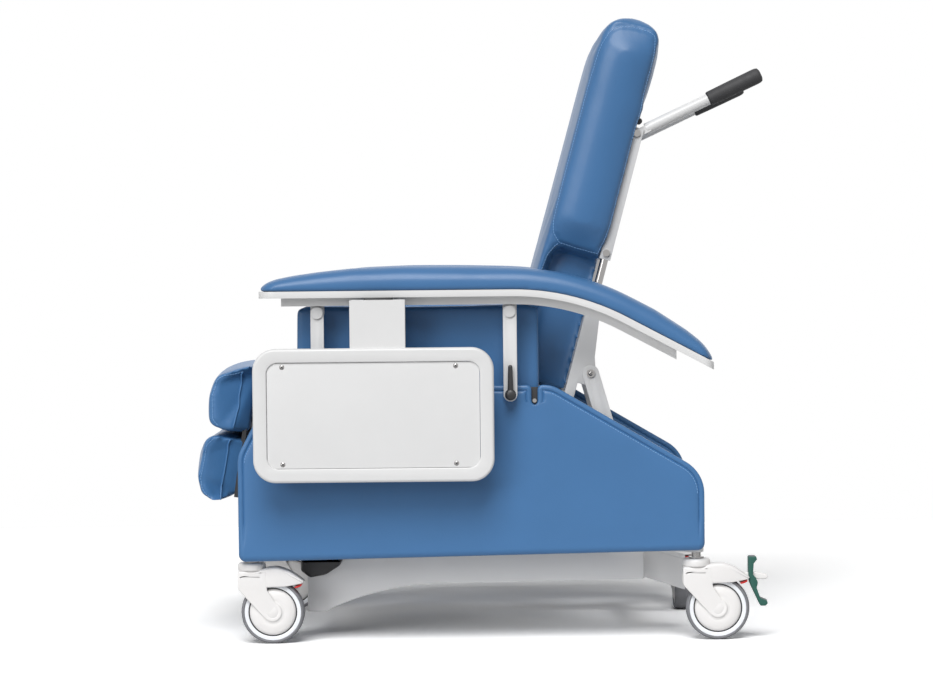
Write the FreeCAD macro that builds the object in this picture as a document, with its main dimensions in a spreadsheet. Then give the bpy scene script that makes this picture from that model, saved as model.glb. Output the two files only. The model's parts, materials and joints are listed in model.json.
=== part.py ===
import FreeCAD, Part
import math
import os
import re
import Sketcher

# Clinical recliner on four casters, chair facing -X, its left side at -Y, floor at Z = 0.
# The origin lies on the floor, midway between the four caster stems.

# Driving sizes in millimetres and degrees
SIZES = {
    # casters
    "wheelbase": 875, "track": 580, "wheel_diameter": 125, "wheel_width": 32, "rim_diameter": 112,
    "cover_diameter": 92, "cover_rise": 1.5, "hub_diameter": 34, "tyre_crown": 2.5, "tyre_shoulder": 2.5,
    "caster_height": 160, "caster_trail": 41, "caster_cap_diameter": 55, "caster_cap_height": 16,
    "stem_diameter": 12, "stem_boss_diameter": 29, "stem_washer_diameter": 30, "stem_washer_height": 3,
    "stem_neck_diameter": 18, "stem_depth": 27, "axle_diameter": 12, "fork_plate": 5, "fork_side_gap": 2.5,
    "fork_front": 27, "fork_shoulder": 60, "fork_hub_radius": 14, "tyre_gap": 6, "fender_thickness": 11,
    "fender_end_angle": 45, "fork_tail_reach": 65, "fork_tail_rise": 44, "fork_tail_depth": 20,
    "brake_pivot_reach": 60, "brake_pivot_rise": 47.5, "brake_pin_diameter": 6, "brake_width": 24,
    "pedal_pivot_reach": 73, "pedal_pivot_rise": 59.5, "pedal_pin_diameter": 8, "pedal_width": 26,
    "pedal_web": 10, "pedal_web_height": 10, "pedal_rise": 42, "pedal_drop": 48, "pedal_kick": 27,
    "pedal_pad": 19, "caster_turn": 90,
    # base
    "rail_spacing": 320, "rail_thickness": 35, "rail_front": -334, "rail_rear": 340, "rail_top": 200,
    "rail_toe": 50, "rail_toe_length": 34, "rail_arch_end": -50, "rail_arch_height": 105,
    "rail_heel": 109, "rail_tail": 84, "rail_tail_inset": 12, "rail_tail_plate": 6, "rail_tail_drop": 27,
    "rail_arch_radius": 560, "beam_thickness": 20, "beam_bottom": 70, "cross_tube": 40,
    "cross_tube_bottom": 130, "outrigger_bottom": 172, "outrigger_root": 80, "outrigger_tip": 24,
    "cover_length": 85, "cover_height": 40, "cover_depth": 20, "cover_bottom": 118, "cover_front": -346,
    # side frames and panels
    "side_tube": 30, "side_tube_bottom": 290, "side_tube_half": 425, "panel_spacing": 610,
    "panel_thickness": 30, "panel_bottom": 169, "panel_top": 505, "panel_front": -460, "panel_rear": 452,
    "panel_rear_height": 331, "panel_slope_start": 156, "panel_front_height": 372, "panel_front_top": -390,
    "panel_soft_radius": 60, "panel_foot_radius": 14, "slot_centre": 122, "slot_width": 12, "slot_depth": 37,
    "slot_bolt_diameter": 8, "arm_panel_thickness": 32, "arm_panel_front": -343, "arm_panel_rear": 131,
    "arm_panel_bottom": 405, "arm_panel_top": 664, "arm_panel_crown": 6,
    # seat
    "seat_front": -420, "seat_rear": 34, "seat_width": 520, "seat_bottom": 452.3, "seat_edge": 82,
    "seat_crown": 16, "seat_board": 12, "seat_board_width": 500, "seat_rail_spacing": 410,
    "seat_rail_width": 25, "seat_rail_height": 40, "seat_rail_rear": 125, "seat_bar": 30,
    "seat_bar_front": -390, "seat_bar_rear": 60, "pivot_plate": 6, "pivot_plate_radius": 14,
    "pivot_pin_diameter": 14, "pivot_lug": 12, "pivot_lug_radius": 16,
    # leg rest
    "legrest_pivot_x": -435, "legrest_pivot_z": 425, "legrest_tilt": 8,
    "carriage_rod": 20, "carriage_spacing": 300, "carriage_length": 345, "carriage_bar_length": 380,
    "guide_length": 45, "guide_first": -395, "guide_second": -310, "guide_block": 36, "legrest_board": 8,
    "legrest_board_gap": 14, "legrest_width": 500, "legrest_edge": 62, "legrest_crown": 16,
    "upper_pad_top": 120, "upper_pad_bottom": -16, "lower_pad_top": -27, "lower_pad_bottom": -158,
    "legrest_lug": 12, "legrest_lug_radius": 16, "legrest_lug_spacing": 340,
    # back
    "back_foot_x": 183, "back_foot_z": 489, "back_lean": 15, "back_length": 748, "back_width": 524,
    "back_edge": 108, "back_crown": 20, "back_pivot_inset": 65, "back_pivot_drop": 32, "back_bar": 20,
    "back_bar_spacing": 470, "back_bar_top": 190, "back_shelf": 12, "back_shelf_gap": 2,
    "back_shelf_depth": 112, "back_tube_diameter": 16, "channel_bottom": 272, "channel_top": 540,
    "channel_width": 30, "channel_depth": 22, "channel_wall": 2.5, "channel_tongue": 24,
    "stop_diameter": 12, "stop_rise": 13, "button_diameter": 14, "button_height": 4,
    "button_position": 285, "link_pivot_offset": 40.7, "link_pivot_height": 47.1, "bracket_thickness": 5,
    "bracket_bottom": 22, "bracket_top": 160, "link_length": 186, "link_slant": 16, "link_width": 33,
    "link_thickness": 5, "link_pin_diameter": 10, "link_head_diameter": 16, "crank_shaft_diameter": 20,
    "crank_arm": 6, "crank_hub_radius": 15, "bearing_block": 40,
    # push handles
    "handle_offset": 11, "handle_height": 529, "handle_angle": 25, "handle_tube_diameter": 22.5,
    "handle_pin_diameter": 8, "handle_root": 20, "handle_lug_width": 20, "handle_lug_radius": 7.5,
    "grip_start": 158, "grip_end": 270, "grip_diameter": 31, "grip_flange_diameter": 34, "grip_flange": 6,
    "grip_cap": 8,
    # armrests
    "arm_inner": 306, "arm_width": 80, "arm_front": -413, "arm_tip": 470, "arm_top": 693,
    "trim_thickness": 13, "arm_bend_start": 80, "arm_bend_radius": 470, "arm_bend_angle": 28,
    "trim_nose_radius": 34, "trim_tail_radius": 20, "arm_rail_height": 16, "arm_rail_front": -369,
    "arm_rail_rear": 398, "arm_rail_width": 30, "arm_pad_inset": 3, "arm_pad_height": 47,
    "post_front_x": -300, "post_rear_x": 75, "post_thickness": 15, "post_width": 27, "post_front_width": 25.5,
    "post_pivot_z": 488, "post_length": 162, "post_pin_diameter": 12, "post_head_diameter": 22,
    "post_head_height": 6, "arm_lug": 8, "lever_hub_diameter": 22, "lever_hub_height": 16,
    "lever_reach": 58, "lever_neck": 10, "lever_pin_diameter": 8,
    # side tray
    "tray_front": -423, "tray_width": 466, "tray_bottom": 324, "tray_height": 259, "tray_corner_radius": 44,
    "tray_rim": 27, "tray_inner_radius": 22, "tray_depth": 18, "tray_board": 8, "tray_edge_radius": 6,
    "tray_plate": 4, "tray_bracket_x": -179, "tray_bracket_width": 104, "tray_hinge_y": -398,
    "tray_hinge_z": 668, "tray_knuckle_radius": 8, "tray_pin_diameter": 8, "tray_knuckle_length": 54,
    "tray_screw_spacing_x": 335, "tray_screw_spacing_z": 188, "tray_screw_diameter": 11,
    "tray_screw_head": 2, "tray_screw_shift": 8, "tray_bar_width": 24,
    # clearances
    "running": 0.05, "gap": 0.4,
}

doc = FreeCAD.newDocument("clinical_recliner")
sheet = doc.addObject("Spreadsheet::Sheet", "Sizes")
for row, (alias, number) in enumerate(SIZES.items(), start=1):
    sheet.set(f"A{row}", str(number))
    sheet.setAlias(f"A{row}", alias)
doc.recompute()
nodes = []


# Formulas on the sheet's sizes
def bind(formula):
    return re.sub(r"[a-z][a-z_]*", lambda word: ("Sizes." if word[0] in SIZES else "") + word[0], formula)


def value(formula):
    return float(sheet.evalExpression(bind(formula)))


def middle(first, last):
    return f"(({first}) + ({last})) / 2"


# Solids from primitives, each given by its reach along the axes
def move(item, x="0", y="0", z="0"):
    for name, formula in (("x", x), ("y", y), ("z", z)):
        item.setExpression(f"Placement.Base.{name}", bind(formula))
    return item


def turn(item, angle, axis=(0, 1, 0)):
    rotation = FreeCAD.Rotation(FreeCAD.Vector(*axis), value(angle))
    item.Placement = FreeCAD.Placement(FreeCAD.Vector(), rotation)
    item.setExpression("Placement.Rotation.Angle", bind(angle))
    return item


def box(label, x, y, z):
    item = doc.addObject("Part::Box", label)
    for name, (low, high) in (("Length", x), ("Width", y), ("Height", z)):
        item.setExpression(name, bind(f"({high}) - ({low})"))
    return move(item, x[0], y[0], z[0])


def rod(label, diameter, axis, centre, reach):
    item = doc.addObject("Part::Cylinder", label)
    item.setExpression("Radius", bind(f"({diameter}) / 2"))
    item.setExpression("Height", bind(f"({reach[1]}) - ({reach[0]})"))
    tilt = {"x": ((0, 1, 0), 90), "y": ((1, 0, 0), -90), "z": ((0, 0, 1), 0)}[axis]
    item.Placement = FreeCAD.Placement(FreeCAD.Vector(), FreeCAD.Rotation(FreeCAD.Vector(*tilt[0]), tilt[1]))
    start = {"x": (reach[0], *centre), "y": (centre[0], reach[0], centre[1]), "z": (*centre, reach[0])}[axis]
    return move(item, *start)


# Solids from sketches
def plane_of(body, role):
    return next(feature for feature in body.Origin.OriginFeatures if feature.Role == role)


def outline(body, role, corners, arcs=None):
    """Closed outline through corners; arcs gives a radius and a side for the run after a corner."""
    sketch = body.newObject("Sketcher::SketchObject", "Outline")
    sketch.AttachmentSupport = (plane_of(body, role), [""])
    sketch.MapMode = "FlatFace"
    points = [FreeCAD.Vector(value(across), value(up), 0) for across, up in corners]
    runs = list(zip(points, points[1:] + points[:1]))
    arcs = arcs or {}
    for index, (start, end) in enumerate(runs):
        if index in arcs:
            radius, side = arcs[index]
            chord = end - start
            rise = value(radius) - (value(radius) ** 2 - chord.Length ** 2 / 4) ** 0.5
            normal = FreeCAD.Vector(-chord.y, chord.x, 0).normalize()
            sketch.addGeometry(Part.Arc(start, (start + end) / 2 + normal * rise * side, end))
        else:
            sketch.addGeometry(Part.LineSegment(start, end))

    def end_at(index, point):
        near = (sketch.getPoint(index, 1) - point).Length < (sketch.getPoint(index, 2) - point).Length
        return (index, 1 if near else 2)

    for index, (start, end) in enumerate(runs):
        following = (index + 1) % len(runs)
        joint = (*end_at(index, end), *end_at(following, end))
        sketch.addConstraint(Sketcher.Constraint("Coincident", *joint))
        for kind, formula in zip(("DistanceX", "DistanceY"), corners[index]):
            place = Sketcher.Constraint(kind, -1, 1, *end_at(index, start), value(formula))
            sketch.setExpression(f"Constraints[{sketch.addConstraint(place)}]", bind(formula))
        if index in arcs:
            bend = sketch.addConstraint(Sketcher.Constraint("Radius", index, value(arcs[index][0])))
            sketch.setExpression(f"Constraints[{bend}]", bind(arcs[index][0]))
    return sketch


def plate(label, corners, reach, role="XZ_Plane", arcs=None):
    """Outline in a plane, padded over its reach along the plane's normal."""
    body = doc.addObject("PartDesign::Body", label)
    pad = body.newObject("PartDesign::Pad", "Pad")
    pad.Profile = outline(body, role, corners, arcs)
    pad.setExpression("Length", bind(f"({reach[1]}) - ({reach[0]})"))
    if role == "XZ_Plane":
        return move(body, y=reach[1])
    return move(body, z=reach[0])


def turned(label, corners, arcs=None, axis="H_Axis"):
    body = doc.addObject("PartDesign::Body", label)
    sketch = outline(body, "XY_Plane", corners, arcs)
    form = body.newObject("PartDesign::Revolution", "Turned")
    form.Profile = sketch
    form.ReferenceAxis = (sketch, [axis])
    return body


def soften(body, corners, radius, role="XZ_Plane"):
    """Round the edges that stand on these corners of the outline."""
    doc.recompute()
    base = body.Tip
    wanted = [(value(across), value(up)) for across, up in corners]
    drop = 1 if role == "XZ_Plane" else 2
    chosen = []
    for number, edge in enumerate(base.Shape.Edges, start=1):
        ends = [tuple(vertex.Point) for vertex in edge.Vertexes]
        flat = [tuple(end[axis] for axis in range(3) if axis != drop) for end in ends]
        if len(flat) == 2 and max(abs(a - b) for a, b in zip(*flat)) < 0.001:
            if min(abs(flat[0][0] - x) + abs(flat[0][1] - y) for x, y in wanted) < 0.01:
                chosen.append(f"Edge{number}")
    fillet = body.newObject("PartDesign::Fillet", "Soft")
    fillet.Base = (base, chosen)
    fillet.setExpression("Radius", bind(radius))
    body.Tip = fillet
    return body


# Joining solids
def fuse(label, items):
    item = doc.addObject("Part::MultiFuse", label)
    item.Shapes = items
    item.Refine = True
    return item


def cut(label, base, tool):
    item = doc.addObject("Part::Cut", label)
    item.Base = base
    item.Tool = tool
    return item


def group(label, items):
    item = doc.addObject("Part::Compound", label)
    item.Links = items
    return item


def mirrored(label, source):
    item = doc.addObject("Part::Mirroring", label)
    item.Source = source
    item.Normal = FreeCAD.Vector(0, 1, 0)
    return item


def both_sides(label, items):
    source = group(label + "_left", items)
    return group(label, [source, mirrored(label + "_right", source)])


def node(name, item):
    item.Label = name
    nodes.append(item)
    return item


# Cushions: cross sections of a flat base, two bulging sides and a crown, joined in order
def cushion(label, stations, across):
    sections = []
    for base, up, width, edge, crown, bulge in stations:
        half = across * (width / 2)
        low = [base - half, base + half]
        high = [low[1] + up * edge, low[0] + up * edge]
        side = up * (edge / 2) + across * bulge
        wall = up * (edge / 2) - across * bulge
        edges = [
            Part.LineSegment(low[0], low[1]),
            Part.Arc(low[1], low[1] + side, high[0]),
            Part.Arc(high[0], base + up * (edge + crown), high[1]),
            Part.Arc(high[1], low[0] + wall, low[0]),
        ]
        sections.append(Part.Wire([edge.toShape() for edge in edges]))
    item = doc.addObject("Part::Feature", label)
    item.Shape = Part.makeLoft(sections, True, True)
    return item


Y_AXIS = FreeCAD.Vector(0, 1, 0)
Z_AXIS = FreeCAD.Vector(0, 0, 1)
FORWARD = FreeCAD.Vector(-1, 0, 0)


# Casters, made round the stem's axis and then placed at the four corners
AXLE_Z = "wheel_diameter / 2"
CAP_BOTTOM = "(caster_height - caster_cap_height)"
FORK_INNER = "(wheel_width / 2 + fork_side_gap)"
FORK_OUTER = f"({FORK_INNER} + fork_plate)"
FENDER_INNER = "(wheel_diameter / 2 + tyre_gap + fork_side_gap)"
FENDER_OUTER = f"({FENDER_INNER} + fender_thickness)"
TAIL_X = "(caster_trail + fork_tail_reach)"
TAIL_Z = f"({AXLE_Z} + fork_tail_rise)"


def caster_fork(label, has_pedal):
    corners = [
        ("-fork_front", CAP_BOTTOM),
        ("fork_shoulder", CAP_BOTTOM),
        (TAIL_X, f"{TAIL_Z} + fork_tail_depth"),
        (TAIL_X, TAIL_Z),
        ("caster_trail + fork_hub_radius * 2.5", TAIL_Z),
        ("caster_trail + fork_hub_radius", AXLE_Z),
        ("caster_trail", f"{AXLE_Z} - fork_hub_radius"),
        ("caster_trail - fork_hub_radius", AXLE_Z),
        ("-fork_front", f"{CAP_BOTTOM} - fork_front"),
    ]
    fender = plate(label + "_fender", [
        ("caster_trail", f"{AXLE_Z} + {FENDER_INNER}"),
        ("caster_trail", f"{AXLE_Z} + {FENDER_OUTER}"),
        (f"caster_trail + {FENDER_OUTER} * cos(fender_end_angle)",
         f"{AXLE_Z} + {FENDER_OUTER} * sin(fender_end_angle)"),
        (f"caster_trail + {FENDER_INNER} * cos(fender_end_angle)",
         f"{AXLE_Z} + {FENDER_INNER} * sin(fender_end_angle)"),
    ], (f"-{FORK_INNER}", FORK_INNER), arcs={1: (FENDER_OUTER, 1), 3: (FENDER_INNER, -1)})
    pieces = [
        plate(label + "_left", corners, (f"-{FORK_OUTER}", f"-{FORK_INNER}")),
        plate(label + "_right", corners, (FORK_INNER, FORK_OUTER)),
        box(label + "_crown", ("-fork_front", "caster_trail"), (f"-{FORK_INNER}", FORK_INNER),
            ("wheel_diameter + tyre_gap", CAP_BOTTOM)),
        rod(label + "_cap", "caster_cap_diameter", "z", ("0", "0"), (CAP_BOTTOM, "caster_height")),
        rod(label + "_axle", "axle_diameter", "y", ("caster_trail", AXLE_Z), (f"-{FORK_OUTER}", FORK_OUTER)),
        fender,
    ]
    if has_pedal:
        hub = ("caster_trail + pedal_pivot_reach", f"{AXLE_Z} + pedal_pivot_rise")
        web = ("-pedal_web / 2", "pedal_web / 2")
        pieces += [
            box(label + "_web", ("caster_trail + brake_pivot_rise", hub[0]), web,
                (f"{hub[1]} - pedal_web_height / 2", f"{hub[1]} + pedal_web_height / 2")),
            rod(label + "_eye", "pedal_web_height * 1.4", "y", hub, web),
            rod(label + "_pin", "pedal_pin_diameter", "y", hub, ("-pedal_width / 2", "pedal_width / 2")),
        ]
    bore = rod(label + "_bore", "stem_diameter + 2 * running", "z", ("0", "0"),
               ("wheel_diameter", "caster_height + gap"))
    return cut(label, fuse(label + "_solid", pieces), bore)


def caster_wheel():
    half = "(wheel_width / 2 - tyre_crown)"
    centre = ("caster_trail", AXLE_Z)
    layers = [
        ("rim", "rim_diameter", half),
        ("cover", "cover_diameter", f"({half} + cover_rise)"),
        ("hub", "hub_diameter", "(wheel_width / 2 + fork_side_gap - gap)"),
    ]
    discs = [rod("wheel_" + name, size, "y", centre, (f"-{reach}", reach)) for name, size, reach in layers]
    bore = rod("wheel_bore", "axle_diameter + 2 * running", "y", centre, (f"-{FORK_OUTER}", FORK_OUTER))
    return cut("wheel_disc", fuse("wheel_layers", discs), bore)


def caster_tyre():
    shoulder = "wheel_diameter / 2 - tyre_shoulder"
    bend = "((wheel_width / 2) ^ 2 + tyre_shoulder ^ 2) / (2 * tyre_shoulder)"
    body = turned("tyre_ring", [
        ("rim_diameter / 2", "-wheel_width / 2"),
        (shoulder, "-wheel_width / 2"),
        (shoulder, "wheel_width / 2"),
        ("rim_diameter / 2", "wheel_width / 2"),
    ], arcs={1: (bend, -1)}, axis="V_Axis")
    return move(body, "caster_trail", "0", AXLE_Z)


def caster_brake():
    pivot_x = "(caster_trail + brake_pivot_reach)"
    pivot_z = f"({AXLE_Z} + brake_pivot_rise)"
    pin = "brake_pin_diameter"
    tab = plate("brake_tab", [
        (f"{pivot_x} - {pin}", f"{pivot_z} - {pin} / 3"),
        (f"{pivot_x} + {pin} / 2", f"{pivot_z} + {pin} * 0.8"),
        (f"{pivot_x} + {pin} * 1.3", f"{pivot_z} - {pin} * 0.7"),
        (f"{pivot_x} + {pin} / 6", f"{pivot_z} - {pin} * 2.3"),
        (f"{pivot_x} - {pin}", f"{pivot_z} - {pin} * 1.8"),
    ], ("-brake_width / 2", "brake_width / 2"))
    pin_rod = rod("brake_pin", pin, "y", (pivot_x, pivot_z), (f"gap - {FORK_INNER}", f"{FORK_INNER} - gap"))
    return fuse("brake_lever", [tab, pin_rod])


def caster_pedal():
    hub_x = "(caster_trail + pedal_pivot_reach)"
    hub_z = f"({AXLE_Z} + pedal_pivot_rise)"
    rim = "pedal_web_height"
    rocker = plate("pedal_rocker", [
        (f"{hub_x} - pedal_pad * 0.4", f"{hub_z} + pedal_rise"),
        (f"{hub_x} + pedal_pad * 0.6", f"{hub_z} + pedal_rise"),
        (f"{hub_x} + pedal_pad * 0.6", f"{hub_z} + pedal_rise - {rim} * 0.7"),
        (f"{hub_x} + pedal_pad * 0.2", f"{hub_z} + pedal_rise - {rim}"),
        (f"{hub_x} + {rim}", f"{hub_z} + {rim} / 4"),
        (f"{hub_x} + pedal_kick", f"{hub_z} - pedal_drop + pedal_pad * 0.8"),
        (f"{hub_x} + pedal_kick", f"{hub_z} - pedal_drop"),
        (f"{hub_x} + pedal_kick - pedal_pad", f"{hub_z} - pedal_drop"),
        (f"{hub_x} + pedal_kick - pedal_pad", f"{hub_z} - pedal_drop + pedal_pad * 0.7"),
        (f"{hub_x} - {rim} * 0.6", f"{hub_z} - {rim} * 0.8"),
        (f"{hub_x} - {rim} * 0.9", f"{hub_z} + {rim} * 0.6"),
    ], ("-pedal_width / 2", "pedal_width / 2"))
    slot = box("pedal_slot", (f"{hub_x} - 2 * {rim}", f"{hub_x} + {rim} * 0.8"),
               ("-pedal_web / 2 - gap", "pedal_web / 2 + gap"),
               (f"{hub_z} - {rim} * 0.95", f"{hub_z} + {rim} * 0.95"))
    bore = rod("pedal_bore", "pedal_pin_diameter + 2 * running", "y", (hub_x, hub_z),
               ("-pedal_width", "pedal_width"))
    return cut("pedal_lever", rocker, fuse("pedal_room", [slot, bore]))


plain_fork = caster_fork("plain_fork", False)
pedal_fork = caster_fork("pedal_fork", True)
caster_pieces = {"wheel": caster_wheel(), "tyre": caster_tyre(), "brake": caster_brake()}
pedal_lever = caster_pedal()
stems = []
for end, end_x in (("front", "-wheelbase / 2"), ("rear", "wheelbase / 2")):
    for side, side_y in (("left", "-track / 2"), ("right", "track / 2")):
        corner = f"{end}_{side}"
        has_pedal = corner == "rear_left"
        for name, source in {"fork": pedal_fork if has_pedal else plain_fork, **caster_pieces}.items():
            placed = group(f"{corner}_{name}", [source])
            if corner == "rear_right":
                turn(placed, "-caster_turn", (0, 0, 1))
            node(f"caster_{name}_{corner}", move(placed, end_x, side_y))
        if has_pedal:
            node("caster_pedal_left", move(group("left_pedal", [pedal_lever]), end_x, side_y))
        centre = (end_x, side_y)
        washer_top = "(caster_height + gap + stem_washer_height)"
        stems.append(fuse(f"{corner}_stem", [
            rod(f"{corner}_shank", "stem_diameter", "z", centre,
                ("caster_height - stem_depth", "outrigger_bottom")),
            rod(f"{corner}_washer", "stem_washer_diameter", "z", centre, ("caster_height + gap", washer_top)),
            rod(f"{corner}_neck", "stem_neck_diameter", "z", centre, (washer_top, "outrigger_bottom")),
        ]))
node("caster_stems", group("stems", stems))


# Base: two arched rails, a front wall and a rear tube between them, four outriggers to the casters
RAIL_INNER = "rail_spacing / 2"
RAIL_OUTER = "(rail_spacing / 2 + rail_thickness)"
rail = plate("base_rail", [
    ("rail_front", "rail_top"),
    ("rail_front", "rail_toe"),
    ("rail_front + rail_toe_length", "rail_toe"),
    ("rail_arch_end", "rail_arch_height"),
    ("rail_rear", "rail_heel"),
    ("rail_rear", "rail_top"),
], (f"-{RAIL_OUTER}", f"-{RAIL_INNER}"), arcs={2: ("rail_arch_radius", 1)})
node("base_rails", both_sides("rails", [rail]))


def outrigger(end, end_x, root_x, heel_x, tip_x):
    stem_y = "-track / 2"
    arm = plate(f"{end}_arm", [
        (root_x, f"-{RAIL_OUTER}"),
        (f"{end_x} + ({tip_x})", f"{stem_y} + outrigger_tip / 2"),
        (f"{end_x} - ({tip_x})", f"{stem_y} - outrigger_tip / 2"),
        (heel_x, f"-{RAIL_OUTER}"),
    ], ("outrigger_bottom", "rail_top"), role="XY_Plane")
    boss = rod(f"{end}_boss", "stem_boss_diameter", "z", (end_x, stem_y), ("outrigger_bottom", "rail_top"))
    return fuse(f"{end}_outrigger", [arm, boss])


outriggers = [
    outrigger("front", "-wheelbase / 2", "rail_front", "rail_front + outrigger_root", "-outrigger_tip / 3"),
    outrigger("rear", "wheelbase / 2", "rail_rear", "rail_rear - outrigger_root", "outrigger_tip / 3"),
]
front_wall = box("front_wall", ("rail_front", "rail_front + beam_thickness"), (f"-{RAIL_INNER}", RAIL_INNER),
                 ("beam_bottom", "rail_top"))
rear_tube = box("rear_tube", ("rail_rear - cross_tube", "rail_rear"), (f"-{RAIL_INNER}", RAIL_INNER),
                ("cross_tube_bottom", "cross_tube_bottom + cross_tube"))
TAIL_REAR = "(rail_rear + rail_tail)"
TAIL_OUTER = f"({RAIL_INNER} - rail_tail_inset)"
tail = plate("rail_tail", [
    ("rail_rear", "rail_heel"),
    (TAIL_REAR, "rail_heel - rail_tail_drop"),
    (TAIL_REAR, "outrigger_bottom - rail_tail_drop"),
    ("rail_rear", "outrigger_bottom"),
], (f"-{TAIL_OUTER}", f"-{TAIL_OUTER} + rail_tail_plate"))
node("base_beams", group("beams", [both_sides("arms", outriggers + [tail]), front_wall, rear_tube]))
cover = plate("front_cover", [
    ("cover_front", "cover_bottom"),
    ("cover_front + cover_length", "cover_bottom"),
    ("cover_front + cover_length", "cover_bottom + cover_height * 0.6"),
    ("cover_front + cover_length * 0.75", "cover_bottom + cover_height"),
    ("cover_front", "cover_bottom + cover_height"),
], (f"-{RAIL_OUTER} - cover_depth", f"-{RAIL_OUTER}"))
node("base_covers", both_sides("covers", [cover]))


# Back geometry: along the rear edge from its foot, leaning back
def back_point(offset, height):
    x = f"(back_foot_x + ({offset}) * cos(back_lean) + ({height}) * sin(back_lean))"
    z = f"(back_foot_z - ({offset}) * sin(back_lean) + ({height}) * cos(back_lean))"
    return x, z


PIVOT_X, PIVOT_Z = back_point("-back_pivot_inset", "-back_pivot_drop")
LINK_X, LINK_Z = back_point("link_pivot_offset", "link_pivot_height")
DROP_X = "link_length * sin(link_slant)"
DROP_Z = "link_length * cos(link_slant)"
CRANK_X, CRANK_Z = f"({PIVOT_X} + {DROP_X})", f"({PIVOT_Z} - {DROP_Z})"
CRANK_TIP_X, CRANK_TIP_Z = f"({LINK_X} + {DROP_X})", f"({LINK_Z} - {DROP_Z})"

# Side frames: a long tube, two uprights and two seat posts on each side, and the crank's bearings
PANEL_INNER = "panel_spacing / 2"
PANEL_OUTER = "(panel_spacing / 2 + panel_thickness)"
TUBE_INNER = "(panel_spacing / 2 - side_tube)"
TUBE_TOP = "(side_tube_bottom + side_tube)"
SEAT_BAR_Z = "(seat_bottom - seat_board - seat_rail_height - seat_bar - gap)"
tube_y = (f"-{PANEL_INNER}", f"-{TUBE_INNER}")
crank_bore = rod("bearing_bore", "crank_shaft_diameter + 2 * running", "y", (CRANK_X, CRANK_Z),
                 (f"-{TUBE_INNER} - gap", f"-{TUBE_INNER} + side_tube"))
bearing = cut("bearing", box(
    "bearing_block", (f"{CRANK_X} - bearing_block / 2", f"{CRANK_X} + bearing_block / 2"),
    (f"-{TUBE_INNER}", f"-{TUBE_INNER} + bearing_block / 3"),
    (f"{CRANK_Z} - bearing_block / 2", f"{CRANK_Z} + bearing_block / 2")), crank_bore)
side_tubes = fuse("side_frame_left", [
    box("long_tube", ("-side_tube_half", "side_tube_half"), tube_y, ("side_tube_bottom", TUBE_TOP)),
    box("front_upright", ("-side_tube_half", "-side_tube_half + side_tube"), tube_y,
        ("rail_top", "side_tube_bottom")),
    box("rear_upright", ("side_tube_half - side_tube", "side_tube_half"), tube_y,
        ("rail_top", "side_tube_bottom")),
    box("front_post", ("seat_bar_front", "seat_bar_front + seat_bar"), tube_y, (TUBE_TOP, SEAT_BAR_Z)),
    box("rear_post", ("seat_bar_rear", "seat_bar_rear + seat_bar"), tube_y, (TUBE_TOP, SEAT_BAR_Z)),
    bearing,
])
node("side_frames", both_sides("frames", [side_tubes]))


# Side panels with a notch in the top edge
def side_panel():
    top = "panel_top"
    panel = plate("panel_board", [
        ("panel_front", "panel_bottom"),
        ("panel_rear", "panel_bottom"),
        ("panel_rear", "panel_rear_height"),
        ("panel_slope_start", top),
        ("panel_front_top", top),
        ("panel_front", "panel_front_height"),
    ], (f"-{PANEL_OUTER}", f"-{PANEL_INNER}"))
    soften(panel, [("panel_rear", "panel_rear_height"), ("panel_slope_start", top), ("panel_front_top", top),
                   ("panel_front", "panel_front_height")], "panel_soft_radius")
    soften(panel, [("panel_front", "panel_bottom"), ("panel_rear", "panel_bottom")], "panel_foot_radius")
    room = (f"-{PANEL_OUTER} - gap", f"-{PANEL_INNER} + gap")
    floor = f"({top} - slot_depth + slot_width / 2)"
    notch = fuse("notch", [
        box("notch_sides", ("slot_centre - slot_width / 2", "slot_centre + slot_width / 2"), room,
            (floor, f"{top} + slot_width")),
        rod("notch_floor", "slot_width", "y", ("slot_centre", floor), room),
    ])
    return cut("panel", panel, notch)


left_panel = side_panel()
node("side_panel_left", left_panel)
node("side_panel_right", mirrored("panel_right", left_panel))

# Padded inner arm panels, crowned towards the seat
ARM_PANEL_STATIONS = [(0, 0.94, 0.75), (0.04, 1, 1), (0.5, 0.985, 1), (0.96, 1, 1), (1, 0.94, 0.75)]


def arm_panel(label, side):
    length = value("arm_panel_rear - arm_panel_front")
    tall = value("arm_panel_top - arm_panel_bottom")
    thick = value("arm_panel_thickness - arm_panel_crown")
    outer = side * value(f"{PANEL_INNER} - gap")
    stations = []
    for share, height, depth in ARM_PANEL_STATIONS:
        base = FreeCAD.Vector(value("arm_panel_front") + share * length, outer,
                              value("arm_panel_bottom") + tall / 2)
        crown = value("arm_panel_crown") * depth
        stations.append((base, Y_AXIS * -side, tall * height, thick * depth, crown, crown / 3))
    return cushion(label, stations, Z_AXIS)


node("arm_panels", group("inner_panels", [arm_panel("inner_left", -1), arm_panel("inner_right", 1)]))

# Bolt in the notch, standing on the inner arm panel
notch_bolt = rod("notch_bolt", "slot_bolt_diameter", "y",
                 ("slot_centre", "panel_top - slot_depth + slot_width * 0.6"),
                 (f"-{PANEL_OUTER} + gap", f"-{PANEL_INNER} + gap"))

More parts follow.
